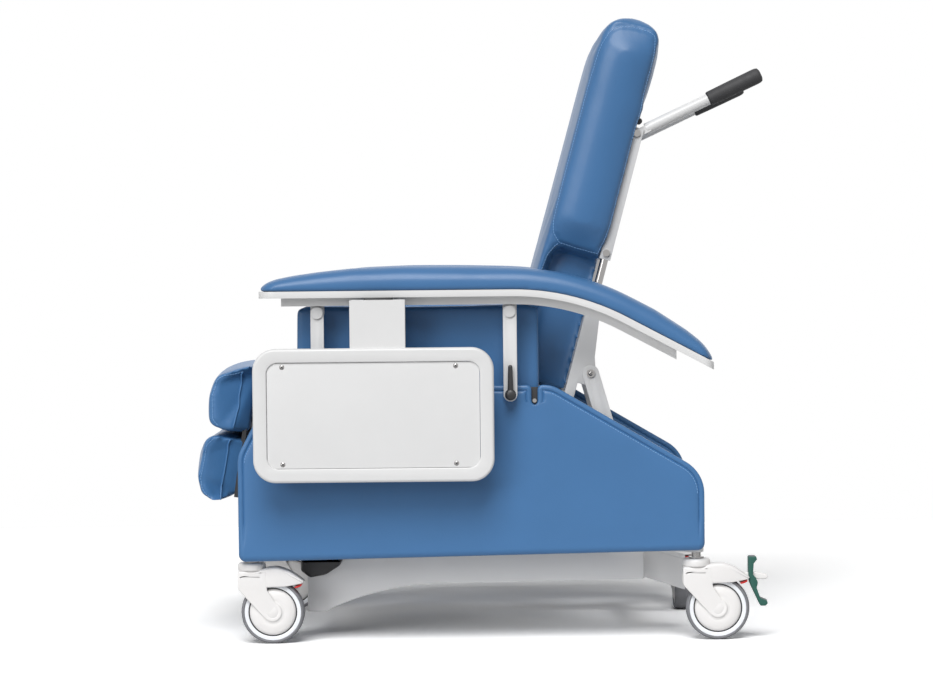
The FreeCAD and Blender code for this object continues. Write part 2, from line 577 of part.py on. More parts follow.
# Seat frame, board and cushion
BOARD_TOP = "(seat_bottom - gap)"
RAIL_TOP = f"({BOARD_TOP} - seat_board)"
RAIL_LOW = f"({RAIL_TOP} - seat_rail_height)"
SEAT_RAIL_OUTER = "(seat_rail_spacing / 2 + seat_rail_width)"
PLATE_OUTER = f"({SEAT_RAIL_OUTER} + pivot_plate)"
LUG_OUTER = f"({SEAT_RAIL_OUTER} - gap)"
LUG_INNER = f"({LUG_OUTER} - pivot_lug)"
seat_bars = [
    box(f"{name}_bar", (start, f"{start} + seat_bar"), (f"-{PANEL_INNER}", PANEL_INNER),
        (SEAT_BAR_Z, RAIL_LOW))
    for name, start in (("front", "seat_bar_front"), ("rear", "seat_bar_rear"))
]
plate_y = (f"-{PLATE_OUTER}", f"-{SEAT_RAIL_OUTER}")
seat_side = group("seat_side", [fuse("seat_rail_left", [
    box("seat_rail", ("seat_bar_front", "seat_rail_rear"), (f"-{SEAT_RAIL_OUTER}", "-seat_rail_spacing / 2"),
        (RAIL_LOW, RAIL_TOP)),
    box("pivot_plate", (f"{PIVOT_X} - pivot_plate_radius", f"{PIVOT_X} + pivot_plate_radius"), plate_y,
        (RAIL_LOW, PIVOT_Z)),
    rod("pivot_eye", "2 * pivot_plate_radius", "y", (PIVOT_X, PIVOT_Z), plate_y),
    rod("pivot_pin", "pivot_pin_diameter", "y", (PIVOT_X, PIVOT_Z),
        (f"-{PLATE_OUTER}", f"-{LUG_INNER} + gap")),
])])
seat_steel = fuse("seat_steel", seat_bars + [seat_side, mirrored("seat_side_right", seat_side)])
seat_sheet = box("seat_sheet", ("seat_front", "seat_rear"), ("-seat_board_width / 2", "seat_board_width / 2"),
                 (RAIL_TOP, BOARD_TOP))
node("seat_frame", group("seat_support", [seat_steel, seat_sheet]))
SEAT_STATIONS = [(0, 0.97, 0.45), (0.03, 0.99, 0.72), (0.1, 1, 0.95), (0.5, 0.975, 1), (0.92, 1, 0.96),
                 (1, 0.97, 0.8)]


def seat_cushion():
    length = value("seat_rear - seat_front")
    stations = []
    for share, width, depth in SEAT_STATIONS:
        base = FreeCAD.Vector(value("seat_front") + share * length, 0, value("seat_bottom"))
        crown = value("seat_crown") * depth
        wide = value("seat_width") * width
        stations.append((base, Z_AXIS, wide, value("seat_edge") * depth, crown, crown / 4))
    return cushion("seat_pad", stations, Y_AXIS)


node("seat_cushion", seat_cushion())


# Leg rest carriage sliding in four guides under the seat board
ROD_Y = "carriage_spacing / 2"
guides = []
for name, start in (("first", "guide_first"), ("second", "guide_second")):
    block = box(f"{name}_guide", (start, f"{start} + guide_length"),
                (f"-{ROD_Y} - guide_block / 2", f"-{ROD_Y} + guide_block / 2"), (RAIL_LOW, RAIL_TOP))
    bore = rod(f"{name}_guide_bore", "carriage_rod + 2 * running", "x", (f"-{ROD_Y}", "legrest_pivot_z"),
               (f"{start} - gap", f"{start} + guide_length + gap"))
    guides.append(cut(f"{name}_guide_block", block, bore))
node("legrest_guides", both_sides("guides", guides))
slide_rods = [
    rod(f"{name}_slide_rod", "carriage_rod", "x", (y, "legrest_pivot_z"),
        ("legrest_pivot_x", "legrest_pivot_x + carriage_length"))
    for name, y in (("left", f"-{ROD_Y}"), ("right", ROD_Y))
]
cross_rod = rod("cross_rod", "carriage_rod", "y", ("legrest_pivot_x", "legrest_pivot_z"),
                ("-carriage_bar_length / 2", "carriage_bar_length / 2"))
node("legrest_carriage", fuse("carriage", slide_rods + [cross_rod]))


# Leg rest, made upright round its pivot and then tilted
def tilt_legrest(label, items):
    return move(turn(group(label, items), "legrest_tilt"), "legrest_pivot_x", "0", "legrest_pivot_z")


BOARD_REAR = "-legrest_board_gap"
BOARD_FRONT = "(-legrest_board_gap - legrest_board)"
lug_y = ("-legrest_lug_spacing / 2 - legrest_lug", "-legrest_lug_spacing / 2")
lug = cut("legrest_lug_left", fuse("legrest_lug_solid", [
    rod("legrest_eye", "2 * legrest_lug_radius", "y", ("0", "0"), lug_y),
    box("legrest_web", (BOARD_REAR, "0"), lug_y, ("-legrest_lug_radius", "legrest_lug_radius")),
]), rod("legrest_lug_bore", "carriage_rod + 2 * running", "y", ("0", "0"),
        (f"{lug_y[0]} - gap", f"{lug_y[1]} + gap")))
lug_room = box("lug_room", (BOARD_FRONT, BOARD_REAR), lug_y, ("-legrest_lug_radius", "legrest_lug_radius"))
lug_left = cut("legrest_lug_trim", lug, lug_room)
legrest_plate = box("legrest_plate", (BOARD_FRONT, BOARD_REAR), ("-legrest_width / 2 + legrest_edge / 2",
                    "legrest_width / 2 - legrest_edge / 2"),
                    ("lower_pad_bottom + legrest_lug", "upper_pad_top - legrest_lug"))
node("legrest_frame", tilt_legrest("legrest_steel", [
    fuse("legrest_solid", [legrest_plate, lug_left, mirrored("legrest_lug_right", lug_left)])]))
PAD_STATIONS = [(0, 0.97, 0.6), (0.07, 0.99, 0.86), (0.2, 1, 1), (0.5, 0.985, 1.04), (0.8, 1, 1),
                (0.93, 0.99, 0.86), (1, 0.97, 0.6)]


def legrest_cushion(label, bottom, top):
    length = value(f"{top} - {bottom}")
    stations = []
    for share, width, depth in PAD_STATIONS:
        base = FreeCAD.Vector(value(f"{BOARD_FRONT} - gap"), 0, value(bottom) + share * length)
        crown = value("legrest_crown") * depth
        wide = value("legrest_width") * width
        stations.append((base, FORWARD, wide, value("legrest_edge") * depth, crown, crown / 4))
    return tilt_legrest(label + "_pad", [cushion(label, stations, Y_AXIS)])


node("legrest_upper_cushion", legrest_cushion("upper", "upper_pad_bottom", "upper_pad_top"))
node("legrest_lower_cushion", legrest_cushion("lower", "lower_pad_bottom", "lower_pad_top"))


# Back, made upright from the foot of its rear edge and then leaned
def lean_back(label, items):
    return move(turn(group(label, items), "back_lean"), "back_foot_x", "0", "back_foot_z")


BAR_REAR = "(back_bar + gap)"
BAR_OUTER = "(back_bar_spacing / 2 + back_bar / 2)"
BAR_INNER = "(back_bar_spacing / 2 - back_bar / 2)"
SHELF_TOP = "-back_shelf_gap"
SHELF_LOW = "(-back_shelf_gap - back_shelf)"
bar_y = (f"-{BAR_OUTER}", f"-{BAR_INNER}")
back_lug_y = (f"-{LUG_OUTER}", f"-{LUG_INNER}")
back_lug = cut("back_lug", fuse("back_lug_solid", [
    rod("back_lug_eye", "2 * pivot_lug_radius", "y", ("-back_pivot_inset", "-back_pivot_drop"), back_lug_y),
    box("back_lug_web", ("-back_pivot_inset - pivot_lug_radius", "-back_pivot_inset + pivot_lug_radius"),
        back_lug_y, ("-back_pivot_drop", SHELF_LOW)),
]), rod("back_lug_bore", "pivot_pin_diameter + 2 * running", "y", ("-back_pivot_inset", "-back_pivot_drop"),
        (f"-{LUG_OUTER} - gap", f"-{LUG_INNER} + gap")))
bracket = plate("link_bracket", [
    (BAR_REAR, "bracket_bottom"),
    ("link_pivot_offset", "bracket_bottom"),
    ("link_pivot_offset + link_width / 3", "link_pivot_height"),
    ("link_pivot_offset", "link_pivot_height + link_width"),
    ("link_pivot_offset - link_width / 3", "bracket_top"),
    (BAR_REAR, "bracket_top"),
], (f"-{BAR_OUTER}", f"-{BAR_OUTER} + bracket_thickness"))
back_side = group("back_side", [fuse("back_side_solid", [
    box("back_bar_left", ("gap", BAR_REAR), bar_y, (SHELF_LOW, "back_bar_top")),
    back_lug,
    bracket,
])])
shelf = box("back_shelf", ("-back_shelf_depth", BAR_REAR), (f"-{BAR_OUTER}", BAR_OUTER),
            (SHELF_LOW, SHELF_TOP))
node("back_frame", lean_back("back_steel", [
    fuse("back_frame_solid", [shelf, back_side, mirrored("back_side_right", back_side)])]))

# Chrome tubes between bars and channels, with the button heads and link pins beside them
TUBE_OFFSET = "(gap + channel_wall + back_tube_diameter / 2 + running)"
BAR_Y = "back_bar_spacing / 2"
LINK_INNER = f"({BAR_OUTER} + gap)"
LINK_OUTER = f"({LINK_INNER} + link_thickness)"
CHANNEL_OUTER = "(back_bar_spacing / 2 + channel_width / 2)"
CHANNEL_INNER = "(back_bar_spacing / 2 - channel_width / 2)"
link_centre = ("link_pivot_offset", "link_pivot_height")
handle_centre = ("handle_offset", "handle_height")
chrome = [
    rod("back_tube", "back_tube_diameter", "z", (TUBE_OFFSET, f"-{BAR_Y}"),
        ("back_bar_top", "channel_bottom + back_tube_diameter")),
    rod("channel_button", "button_diameter", "y", (TUBE_OFFSET, "button_position"),
        (f"-{CHANNEL_OUTER} - button_height", f"-{CHANNEL_OUTER}")),
    fuse("link_screw", [
        rod("link_shank", "link_pin_diameter", "y", link_centre, (f"-{LINK_OUTER} - gap", f"-{BAR_OUTER}")),
        rod("link_head", "link_head_diameter", "y", link_centre,
            (f"-{LINK_OUTER} - gap - button_height", f"-{LINK_OUTER} - gap")),
    ]),
    fuse("handle_screw", [
        rod("handle_head", "button_diameter", "y", handle_centre,
            (f"-{CHANNEL_OUTER} - button_height", f"-{CHANNEL_OUTER}")),
        rod("handle_pin", "handle_pin_diameter", "y", handle_centre,
            (f"-{CHANNEL_OUTER}", f"-{CHANNEL_INNER} - channel_wall")),
    ]),
]
node("back_chrome", lean_back("back_bright", [both_sides("bright", chrome)]))

# Channels that carry the push handles, each with a tongue for its rubber stop
channel_y = (f"-{CHANNEL_OUTER}", f"-{CHANNEL_INNER}")
channel_room = box("channel_room", ("gap + channel_wall", "channel_depth + gap * 2"),
                   (f"-{CHANNEL_OUTER} + channel_wall", f"-{CHANNEL_INNER} - channel_wall"),
                   ("channel_bottom - gap", "channel_top + gap"))
pin_room = rod("pin_room", "handle_pin_diameter", "y", handle_centre,
               (f"-{CHANNEL_OUTER} - gap", f"-{CHANNEL_INNER} - channel_wall"))
channel = cut("channel_left", fuse("channel_solid", [
    box("channel_block", ("gap", "channel_depth + gap"), channel_y, ("channel_bottom", "channel_top")),
    box("channel_tongue", ("gap", "gap + channel_wall"), channel_y,
        ("channel_top", "channel_top + channel_tongue")),
]), fuse("channel_voids", [channel_room, pin_room]))
node("handle_channels", lean_back("channel_pair", [both_sides("channels", [channel])]))
stop_centre = ("gap + channel_wall + stop_diameter / 2", "channel_top + stop_rise")
stop = rod("stop_left", "stop_diameter", "y", stop_centre, channel_y)
node("handle_stops", lean_back("stop_pair", [both_sides("stops", [stop])]))

# Back cushion: rear face flat, crowned front, rounded over at the top
BACK_STATIONS = [
    (0, 0.97, 0.05, 0.86), (0.04, 0.99, 0, 0.97), (0.3, 0.985, 0, 1), (0.62, 0.985, 0, 1), (0.9, 1, 0, 1),
    (0.955, 0.995, 0.03, 0.88), (0.985, 0.985, 0.12, 0.64), (1, 0.96, 0.28, 0.36),
]


def back_cushion():
    full = value("back_edge")
    stations = []
    for share, width, inset, depth in BACK_STATIONS:
        base = FreeCAD.Vector(value("-gap / 2") - inset * full, 0, share * value("back_length"))
        crown = value("back_crown") * depth
        stations.append((base, FORWARD, value("back_width") * width, full * depth, crown, crown / 5))
    return lean_back("back_pad", [cushion("back_form", stations, Y_AXIS)])


node("back_cushion", back_cushion())


# Recline links, made hanging straight down from the back and then slanted
def link_side():
    link_y = (f"-{LINK_OUTER}", f"-{LINK_INNER}")
    room = (f"-{LINK_OUTER} - gap", f"-{LINK_INNER} + gap")
    pieces = [box("link_strip", ("-link_width / 2", "link_width / 2"), link_y, ("-link_length", "0"))]
    holes = []
    for name, height in (("top", "0"), ("foot", "-link_length")):
        pieces.append(rod(f"link_{name}", "link_width", "y", ("0", height), link_y))
        holes.append(rod(f"link_{name}_hole", "link_pin_diameter + 2 * running", "y", ("0", height), room))
    link = cut("link_left", fuse("link_solid", pieces), fuse("link_holes", holes))
    return move(turn(group("link_slanted", [link]), "-link_slant"), LINK_X, "0", LINK_Z)


node("recline_links", both_sides("links", [link_side()]))

# Crank shaft whose arms take the feet of the links and turn with the back
ARM_INNER = f"({LINK_OUTER} + gap)"
ARM_OUTER = f"({ARM_INNER} + crank_arm)"
crank_y = (f"-{ARM_OUTER}", f"-{ARM_INNER}")
crank_side = group("crank_side", [fuse("crank_arm_left", [
    plate("crank_web", [
        (CRANK_X, f"{CRANK_Z} - crank_hub_radius"),
        (CRANK_TIP_X, f"{CRANK_TIP_Z} - crank_hub_radius * 0.8"),
        (CRANK_TIP_X, f"{CRANK_TIP_Z} + crank_hub_radius * 0.8"),
        (CRANK_X, f"{CRANK_Z} + crank_hub_radius"),
    ], crank_y),
    rod("crank_hub", "2 * crank_hub_radius", "y", (CRANK_X, CRANK_Z), crank_y),
    rod("crank_eye", "1.6 * crank_hub_radius", "y", (CRANK_TIP_X, CRANK_TIP_Z), crank_y),
    rod("crank_pin", "link_pin_diameter", "y", (CRANK_TIP_X, CRANK_TIP_Z),
        (f"-{ARM_INNER}", f"-{LINK_INNER}")),
])])
crank_shaft = rod("crank_shaft", "crank_shaft_diameter", "y", (CRANK_X, CRANK_Z),
                  (f"-{TUBE_INNER} + gap", f"{TUBE_INNER} - gap"))
node("recline_crank", fuse("crank", [crank_shaft, crank_side, mirrored("crank_side_right", crank_side)]))

# Push handles, made level along X from their pivot and then raised
HANDLE_X, HANDLE_Z = back_point("handle_offset", "handle_height")


def raise_handle(label, source, side_y):
    return move(turn(group(label, [source]), "-handle_angle"), HANDLE_X, side_y, HANDLE_Z)


handle_bore = rod("handle_bore", "handle_pin_diameter + 2 * running", "y", ("0", "0"),
                  ("-handle_lug_width", "handle_lug_width"))
handle_lug_y = ("-handle_lug_width / 2", "handle_lug_width / 2")
handle = cut("handle", fuse("handle_solid", [
    rod("handle_eye", "2 * handle_lug_radius", "y", ("0", "0"), handle_lug_y),
    box("handle_tang", ("0", "handle_root + handle_lug_radius"), handle_lug_y,
        ("-handle_lug_radius", "handle_lug_radius")),
    rod("handle_tube", "handle_tube_diameter", "x", ("0", "0"), ("handle_root", "grip_end - grip_cap")),
]), handle_bore)
TUBE_RADIUS = "handle_tube_diameter / 2"
grip = turned("grip", [
    ("grip_start", TUBE_RADIUS),
    ("grip_start", "grip_flange_diameter / 2"),
    ("grip_start + grip_flange", "grip_flange_diameter / 2"),
    ("grip_start + grip_flange", "grip_diameter / 2"),
    ("grip_end - grip_cap", "grip_diameter / 2"),
    ("grip_end", "grip_diameter / 2 - grip_cap"),
    ("grip_end", "0"),
    ("grip_end - grip_cap", "0"),
    ("grip_end - grip_cap", TUBE_RADIUS),
], arcs={4: ("grip_cap", 1)})
for side, side_y in (("left", f"-{BAR_Y}"), ("right", BAR_Y)):
    node(f"push_handle_{side}", raise_handle(f"handle_{side}", handle, side_y))
    node(f"handle_grip_{side}", raise_handle(f"grip_{side}", grip, side_y))

# Armrests: a bent trim board with a rail below it and lugs for the two posts
ARM_OUTER_Y = "(arm_inner + arm_width)"
ARM_MID = "(arm_inner + arm_width / 2)"
TRIM_LOW = "(arm_top - trim_thickness)"
ARM_RAIL_LOW = f"({TRIM_LOW} - arm_rail_height)"


def arm_path(depth, tip):
    """Outline points under the arm's top: bend start, bend end and tip, at a depth below it."""
    radius = f"(arm_bend_radius - ({depth}))"
    bend_x = f"(arm_bend_start + {radius} * sin(arm_bend_angle))"
    bend_z = f"(arm_top - arm_bend_radius + {radius} * cos(arm_bend_angle))"
    start = ("arm_bend_start", f"arm_top - ({depth})")
    bend = (bend_x, bend_z)
    end = (tip, f"{bend_z} - ({tip} - {bend_x}) * tan(arm_bend_angle)")
    return start, bend, end, radius


def arm_strip(label, top, bottom, front, tip, reach):
    start, bend, end, radius = arm_path(top, tip)
    low_start, low_bend, low_end, low_radius = arm_path(bottom, tip)
    corners = [(front, f"arm_top - ({top})"), start, bend, end, low_end, low_bend, low_start,
               (front, f"arm_top - ({bottom})")]
    return plate(label, corners, reach, arcs={1: (radius, 1), 5: (low_radius, -1)})


def arm_trim():
    board = arm_strip("trim_board", "0", "trim_thickness", "arm_front", "arm_tip",
                      (f"-{ARM_OUTER_Y}", "-arm_inner"))
    rounded = (("Nose", "arm_front", "trim_nose_radius"), ("Tail", "arm_tip", "trim_tail_radius"))
    for name, x, radius in rounded:
        doc.recompute()
        base = board.Tip
        ends = [f"Edge{number}" for number, edge in enumerate(base.Shape.Edges, start=1)
                if all(abs(vertex.X - value(x)) < 0.001 for vertex in edge.Vertexes)
                and edge.BoundBox.YLength < 0.001]
        fillet = board.newObject("PartDesign::Fillet", name)
        fillet.Base = (base, ends)
        fillet.setExpression("Radius", bind(radius))
        board.Tip = fillet
    rail_y = (f"-{ARM_MID} - arm_rail_width / 2", f"-{ARM_MID} + arm_rail_width / 2")
    under = arm_strip("arm_rail", "trim_thickness", "trim_thickness + arm_rail_height", "arm_rail_front",
                      "arm_rail_rear", rail_y)
    pieces = [board, under]
    for name, x in (("front", "post_front_x"), ("rear", "post_rear_x")):
        pivot = (x, "post_pivot_z + post_length")
        lug_reach = (f"-{POST_INNER} + gap", f"-{POST_INNER} + gap + arm_lug")
        pieces += [
            box(f"{name}_arm_lug", (f"{x} - post_width / 2", f"{x} + post_width / 2"), lug_reach,
                (pivot[1], ARM_RAIL_LOW)),
            rod(f"{name}_arm_eye", "post_width", "y", pivot, lug_reach),
            rod(f"{name}_arm_pin", "post_pin_diameter", "y", pivot, (f"-{POST_OUTER} - gap", lug_reach[0])),
            rod(f"{name}_arm_head", "post_head_diameter", "y", pivot,
                (f"-{POST_OUTER} - gap - button_height", f"-{POST_OUTER} - gap")),
        ]
    return fuse("trim_left", pieces)


# Posts that carry the armrest on two parallel pivots, with studs on the side panel
POST_INNER = f"({PANEL_OUTER} + gap * 5)"
POST_OUTER = f"({POST_INNER} + post_thickness)"
post_y = (f"-{POST_OUTER}", f"-{POST_INNER}")


def arm_post(label, x, width):
    low, high = (x, "post_pivot_z"), (x, "post_pivot_z + post_length")
    room = (f"-{POST_OUTER} - gap", f"-{POST_INNER} + gap")
    hole = "post_pin_diameter + 2 * running"
    solid = fuse(label + "_solid", [
        box(label + "_bar", (f"{x} - {width} / 2", f"{x} + {width} / 2"), post_y, (low[1], high[1])),
        rod(label + "_foot", width, "y", low, post_y),
        rod(label + "_head", width, "y", high, post_y),
    ])
    holes = fuse(label + "_holes", [
        rod(label + "_low_hole", hole, "y", low, room),
        rod(label + "_high_hole", hole, "y", high, room),
    ])
    return cut(label, solid, holes)


trim = arm_trim()
posts = {
    "front": arm_post("front_arm_post", "post_front_x", "post_front_width"),
    "rear": arm_post("rear_arm_post", "post_rear_x", "post_width"),
}
stud_reach = (f"-{POST_OUTER} - gap", f"-{PANEL_OUTER}")
front_stud = fuse("front_stud", [
    rod("front_stud_shank", "post_pin_diameter", "y", ("post_front_x", "post_pivot_z"), stud_reach),
    rod("front_stud_head", "post_head_diameter", "y", ("post_front_x", "post_pivot_z"),
        (f"-{POST_OUTER} - gap - post_head_height", f"-{POST_OUTER} - gap")),
])
LEVER_INNER = f"({POST_OUTER} + 2 * gap)"
LEVER_OUTER = f"({LEVER_INNER} + lever_hub_height)"
rear_stud = fuse("rear_stud", [
    rod("rear_stud_shank", "post_pin_diameter", "y", ("post_rear_x", "post_pivot_z"), stud_reach),
    rod("rear_stud_tip", "lever_pin_diameter", "y", ("post_rear_x", "post_pivot_z"),
        (f"-{LEVER_OUTER} + lever_neck / 3", f"-{POST_OUTER}")),
])
node("frame_bolts", both_sides("studs", [front_stud, rear_stud, notch_bolt]))
lever_hub = ("post_rear_x", "post_pivot_z")
lever = cut("lever", fuse("lever_solid", [
    rod("lever_hub", "lever_hub_diameter", "y", lever_hub, (f"-{LEVER_OUTER}", f"-{LEVER_INNER}")),
    plate("lever_neck", [
        ("post_rear_x - lever_neck / 2", "post_pivot_z"),
        ("post_rear_x + lever_neck / 2", "post_pivot_z"),
        ("post_rear_x + lever_neck * 0.65", "post_pivot_z + lever_reach * 0.85"),
        ("post_rear_x + lever_neck * 0.3", "post_pivot_z + lever_reach"),
        ("post_rear_x - lever_neck * 0.3", "post_pivot_z + lever_reach"),
        ("post_rear_x - lever_neck * 0.65", "post_pivot_z + lever_reach * 0.85"),
    ], (f"-{LEVER_OUTER}", f"-{LEVER_OUTER} + lever_neck")),
]), rod("lever_bore", "lever_pin_diameter + 2 * running", "y", lever_hub,
        (f"-{LEVER_OUTER} + lever_neck / 3 - gap", f"-{LEVER_INNER} + gap")))

# Arm pads: shares of the arm's length, with the share of the pad's full height and width there
ARM_PAD_STATIONS = [
    (0.004, 0.09, 0.5), (0.03, 0.28, 0.8), (0.1, 0.6, 0.97), (0.2, 0.85, 1), (0.32, 1, 1), (0.5, 0.91, 1),
    (0.6, 0.83, 1), (0.86, 0.73, 1), (0.93, 0.62, 0.96), (0.975, 0.36, 0.8), (0.996, 0.11, 0.5),
]
BEND_STEPS = 12


def blend_stations(stations, share):
    for first, last in zip(stations, stations[1:]):
        if first[0] <= share <= last[0]:
            part_way = (share - first[0]) / (last[0] - first[0])
            return tuple(a + (b - a) * part_way for a, b in zip(first, last))
    raise ValueError(share)


def arm_cushion():
    radius = value("arm_bend_radius")
    bend = math.radians(value("arm_bend_angle"))
    full = value("arm_tip - arm_front")
    bend_start = value("arm_bend_start - arm_front") / full
    bend_length = radius * math.sin(bend) / full
    shares = {station[0] for station in ARM_PAD_STATIONS}
    shares |= {bend_start + bend_length * step / BEND_STEPS for step in range(BEND_STEPS + 1)}
    stations = []
    for share in sorted(shares):
        _, height, width = blend_stations(ARM_PAD_STATIONS, share)
        along = max(0, (share - bend_start) * full)
        angle = bend if along >= bend_length * full else math.asin(along / radius)
        beyond = along - radius * math.sin(angle)
        drop = radius * (1 - math.cos(angle)) + beyond * math.tan(angle)
        up = FreeCAD.Vector(math.sin(angle), 0, math.cos(angle))
        base = FreeCAD.Vector(value("arm_front") + share * full, -value(ARM_MID), value("arm_top") - drop)
        tall = value("arm_pad_height") * height
        wide = value("arm_width - 2 * arm_pad_inset") * width
        stations.append((base + up * value("gap"), up, wide, tall * 0.55, tall * 0.45, tall * 0.06))
    return cushion("arm_form", stations, Y_AXIS)


left_arm = {
    "arm_pad": arm_cushion(),
    "arm_trim": trim,
    "arm_post_front": posts["front"],
    "arm_post_rear": posts["rear"],
    "arm_lever": lever,
}
for name, source in left_arm.items():
    node(f"{name}_left", source)
    node(f"{name}_right", mirrored(f"{name}_mirror", source))

# Side tray on the left armrest: hinge block, bracket, rim, board and screws
TRAY_REAR = "(tray_front + tray_width)"
TRAY_TOP = "(tray_bottom + tray_height)"
TRAY_BACK = "(tray_hinge_y - tray_plate / 2)"
TRAY_FACE = f"({TRAY_BACK} - tray_depth)"
hinge_centre = ("tray_hinge_y", "tray_hinge_z")
KNUCKLE = ("tray_bracket_x - tray_knuckle_length / 2", "tray_bracket_x + tray_knuckle_length / 2")
BRACKET_X = ("tray_bracket_x - tray_bracket_width / 2", "tray_bracket_x + tray_bracket_width / 2")
block = fuse("hinge_solid", [
    box("hinge_block", KNUCKLE, ("tray_hinge_y", f"-{ARM_MID} - arm_rail_width / 2 - gap"),
        ("tray_hinge_z - tray_knuckle_radius / 2", TRIM_LOW)),
    rod("hinge_knuckle", "2 * tray_knuckle_radius", "x", hinge_centre, KNUCKLE),
])
over_trim = box("hinge_trim", KNUCKLE, ("tray_hinge_y - tray_knuckle_radius", f"-{ARM_OUTER_Y} - gap"),
                ("tray_hinge_z + tray_knuckle_radius", TRIM_LOW))
hinge_bore = rod("hinge_bore", "tray_pin_diameter + 2 * running", "x", hinge_centre,
                 (f"{KNUCKLE[0]} - gap", f"{KNUCKLE[1]} + gap"))
node("tray_hinge", cut("hinge", block, fuse("hinge_voids", [over_trim, hinge_bore])))
plate_reach = (TRAY_BACK, f"{TRAY_BACK} + tray_plate")
knuckles = [
    rod(f"{name}_knuckle", "2 * tray_knuckle_radius", "x", hinge_centre, reach)
    for name, reach in (("front", (BRACKET_X[0], f"{KNUCKLE[0]} - gap")),
                        ("rear", (f"{KNUCKLE[1]} + gap", BRACKET_X[1])))
]
hinge_plates = [
    box(f"{name}_leaf", reach, plate_reach, (f"{TRAY_TOP} - tray_rim", "tray_hinge_z"))
    for name, reach in (("front", (BRACKET_X[0], f"{KNUCKLE[0]} - gap")),
                        ("rear", (f"{KNUCKLE[1]} + gap", BRACKET_X[1])))
]
SCREW_X = f"({middle('tray_front', TRAY_REAR)} - tray_screw_shift)"
SCREW_Z = f"({middle('tray_bottom', TRAY_TOP)})"
screw_places = [
    (f"{SCREW_X} + ({x}) * tray_screw_spacing_x / 2", f"{SCREW_Z} + ({z}) * tray_screw_spacing_z / 2")
    for x in (-1, 1) for z in (-1, 1)
]
bars = [
    box(f"{name}_tray_bar", (f"{SCREW_X} - tray_screw_spacing_x / 2 - tray_bar_width / 2",
                             f"{SCREW_X} + tray_screw_spacing_x / 2 + tray_bar_width / 2"), plate_reach,
        (f"{SCREW_Z} + ({z}) * tray_screw_spacing_z / 2 - tray_bar_width / 2",
         f"{SCREW_Z} + ({z}) * tray_screw_spacing_z / 2 + tray_bar_width / 2"))
    for name, z in (("low", -1), ("high", 1))
]
tray_leaf = box("tray_leaf", BRACKET_X, plate_reach,
                (f"{SCREW_Z} - tray_screw_spacing_z / 2", "tray_hinge_z - tray_knuckle_radius - 5 * gap"))
hinge_pin = rod("hinge_pin", "tray_pin_diameter", "x", hinge_centre, BRACKET_X)
node("tray_bracket", fuse("bracket", knuckles + hinge_plates + bars + [tray_leaf, hinge_pin]))


def tray_corners(inset):
    low_x, high_x = f"tray_front + {inset}", f"{TRAY_REAR} - {inset}"
    low_z, high_z = f"tray_bottom + {inset}", f"{TRAY_TOP} - {inset}"
    return [(low_x, low_z), (high_x, low_z), (high_x, high_z), (low_x, high_z)]


def tray_plate(label, inset, reach, radius):
    corners = tray_corners(inset)
    return soften(plate(label, corners, reach), corners, radius)


def tray_frame():
    frame = tray_plate("tray_surround", "0", (TRAY_FACE, TRAY_BACK), "tray_corner_radius")
    doc.recompute()
    base = frame.Tip
    front = min(vertex.Y for vertex in base.Shape.Vertexes)
    lips = [f"Edge{number}" for number, edge in enumerate(base.Shape.Edges, start=1)
            if all(abs(vertex.Y - front) < value("gap") for vertex in edge.Vertexes)]
    lip = frame.newObject("PartDesign::Fillet", "Lip")
    lip.Base = (base, lips)
    lip.setExpression("Radius", bind("tray_edge_radius"))
    frame.Tip = lip
    through = (f"{TRAY_FACE} - gap", f"{TRAY_BACK} + gap")
    room = tray_plate("tray_room", "tray_rim", through, "tray_inner_radius")
    return cut("rim", frame, room)


node("tray_rim", tray_frame())
tray_sheet = tray_plate("tray_sheet", "tray_rim", (f"{TRAY_BACK} - tray_board", TRAY_BACK),
                        "tray_inner_radius")
screw_reach = (f"{TRAY_BACK} - tray_board", f"{TRAY_BACK} - tray_board + tray_screw_head")
wells = [
    rod(f"screw_well_{index}", "tray_screw_diameter + 2 * gap", "y", place, screw_reach)
    for index, place in enumerate(screw_places)
]
node("tray_board", cut("board", tray_sheet, fuse("screw_wells", wells)))
node("tray_screws", group("screws", [
    rod(f"screw_{index}", "tray_screw_diameter", "y", place, screw_reach)
    for index, place in enumerate(screw_places)
]))

# Check every object, then write one file for each sub-part
doc.recompute()
for item in doc.Objects:
    if "Invalid" in item.State or "Error" in item.State:
        raise RuntimeError(f"{item.Label} could not be built: {item.State}")
for item in nodes:
    if item.Shape.isNull() or not item.Shape.isValid() or not item.Shape.Solids:
        raise RuntimeError(f"{item.Label} has no valid solid")
os.makedirs("parts", exist_ok=True)
for item in nodes:
    item.Shape.exportStep(f"parts/{item.Label}.step")
print(len(nodes), "sub-parts written")
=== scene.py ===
import bmesh
import bpy
import json
import math
from mathutils import Matrix, Vector
from mathutils.bvhtree import BVHTree
from mathutils.geometry import delaunay_2d_cdt
from mathutils.kdtree import KDTree


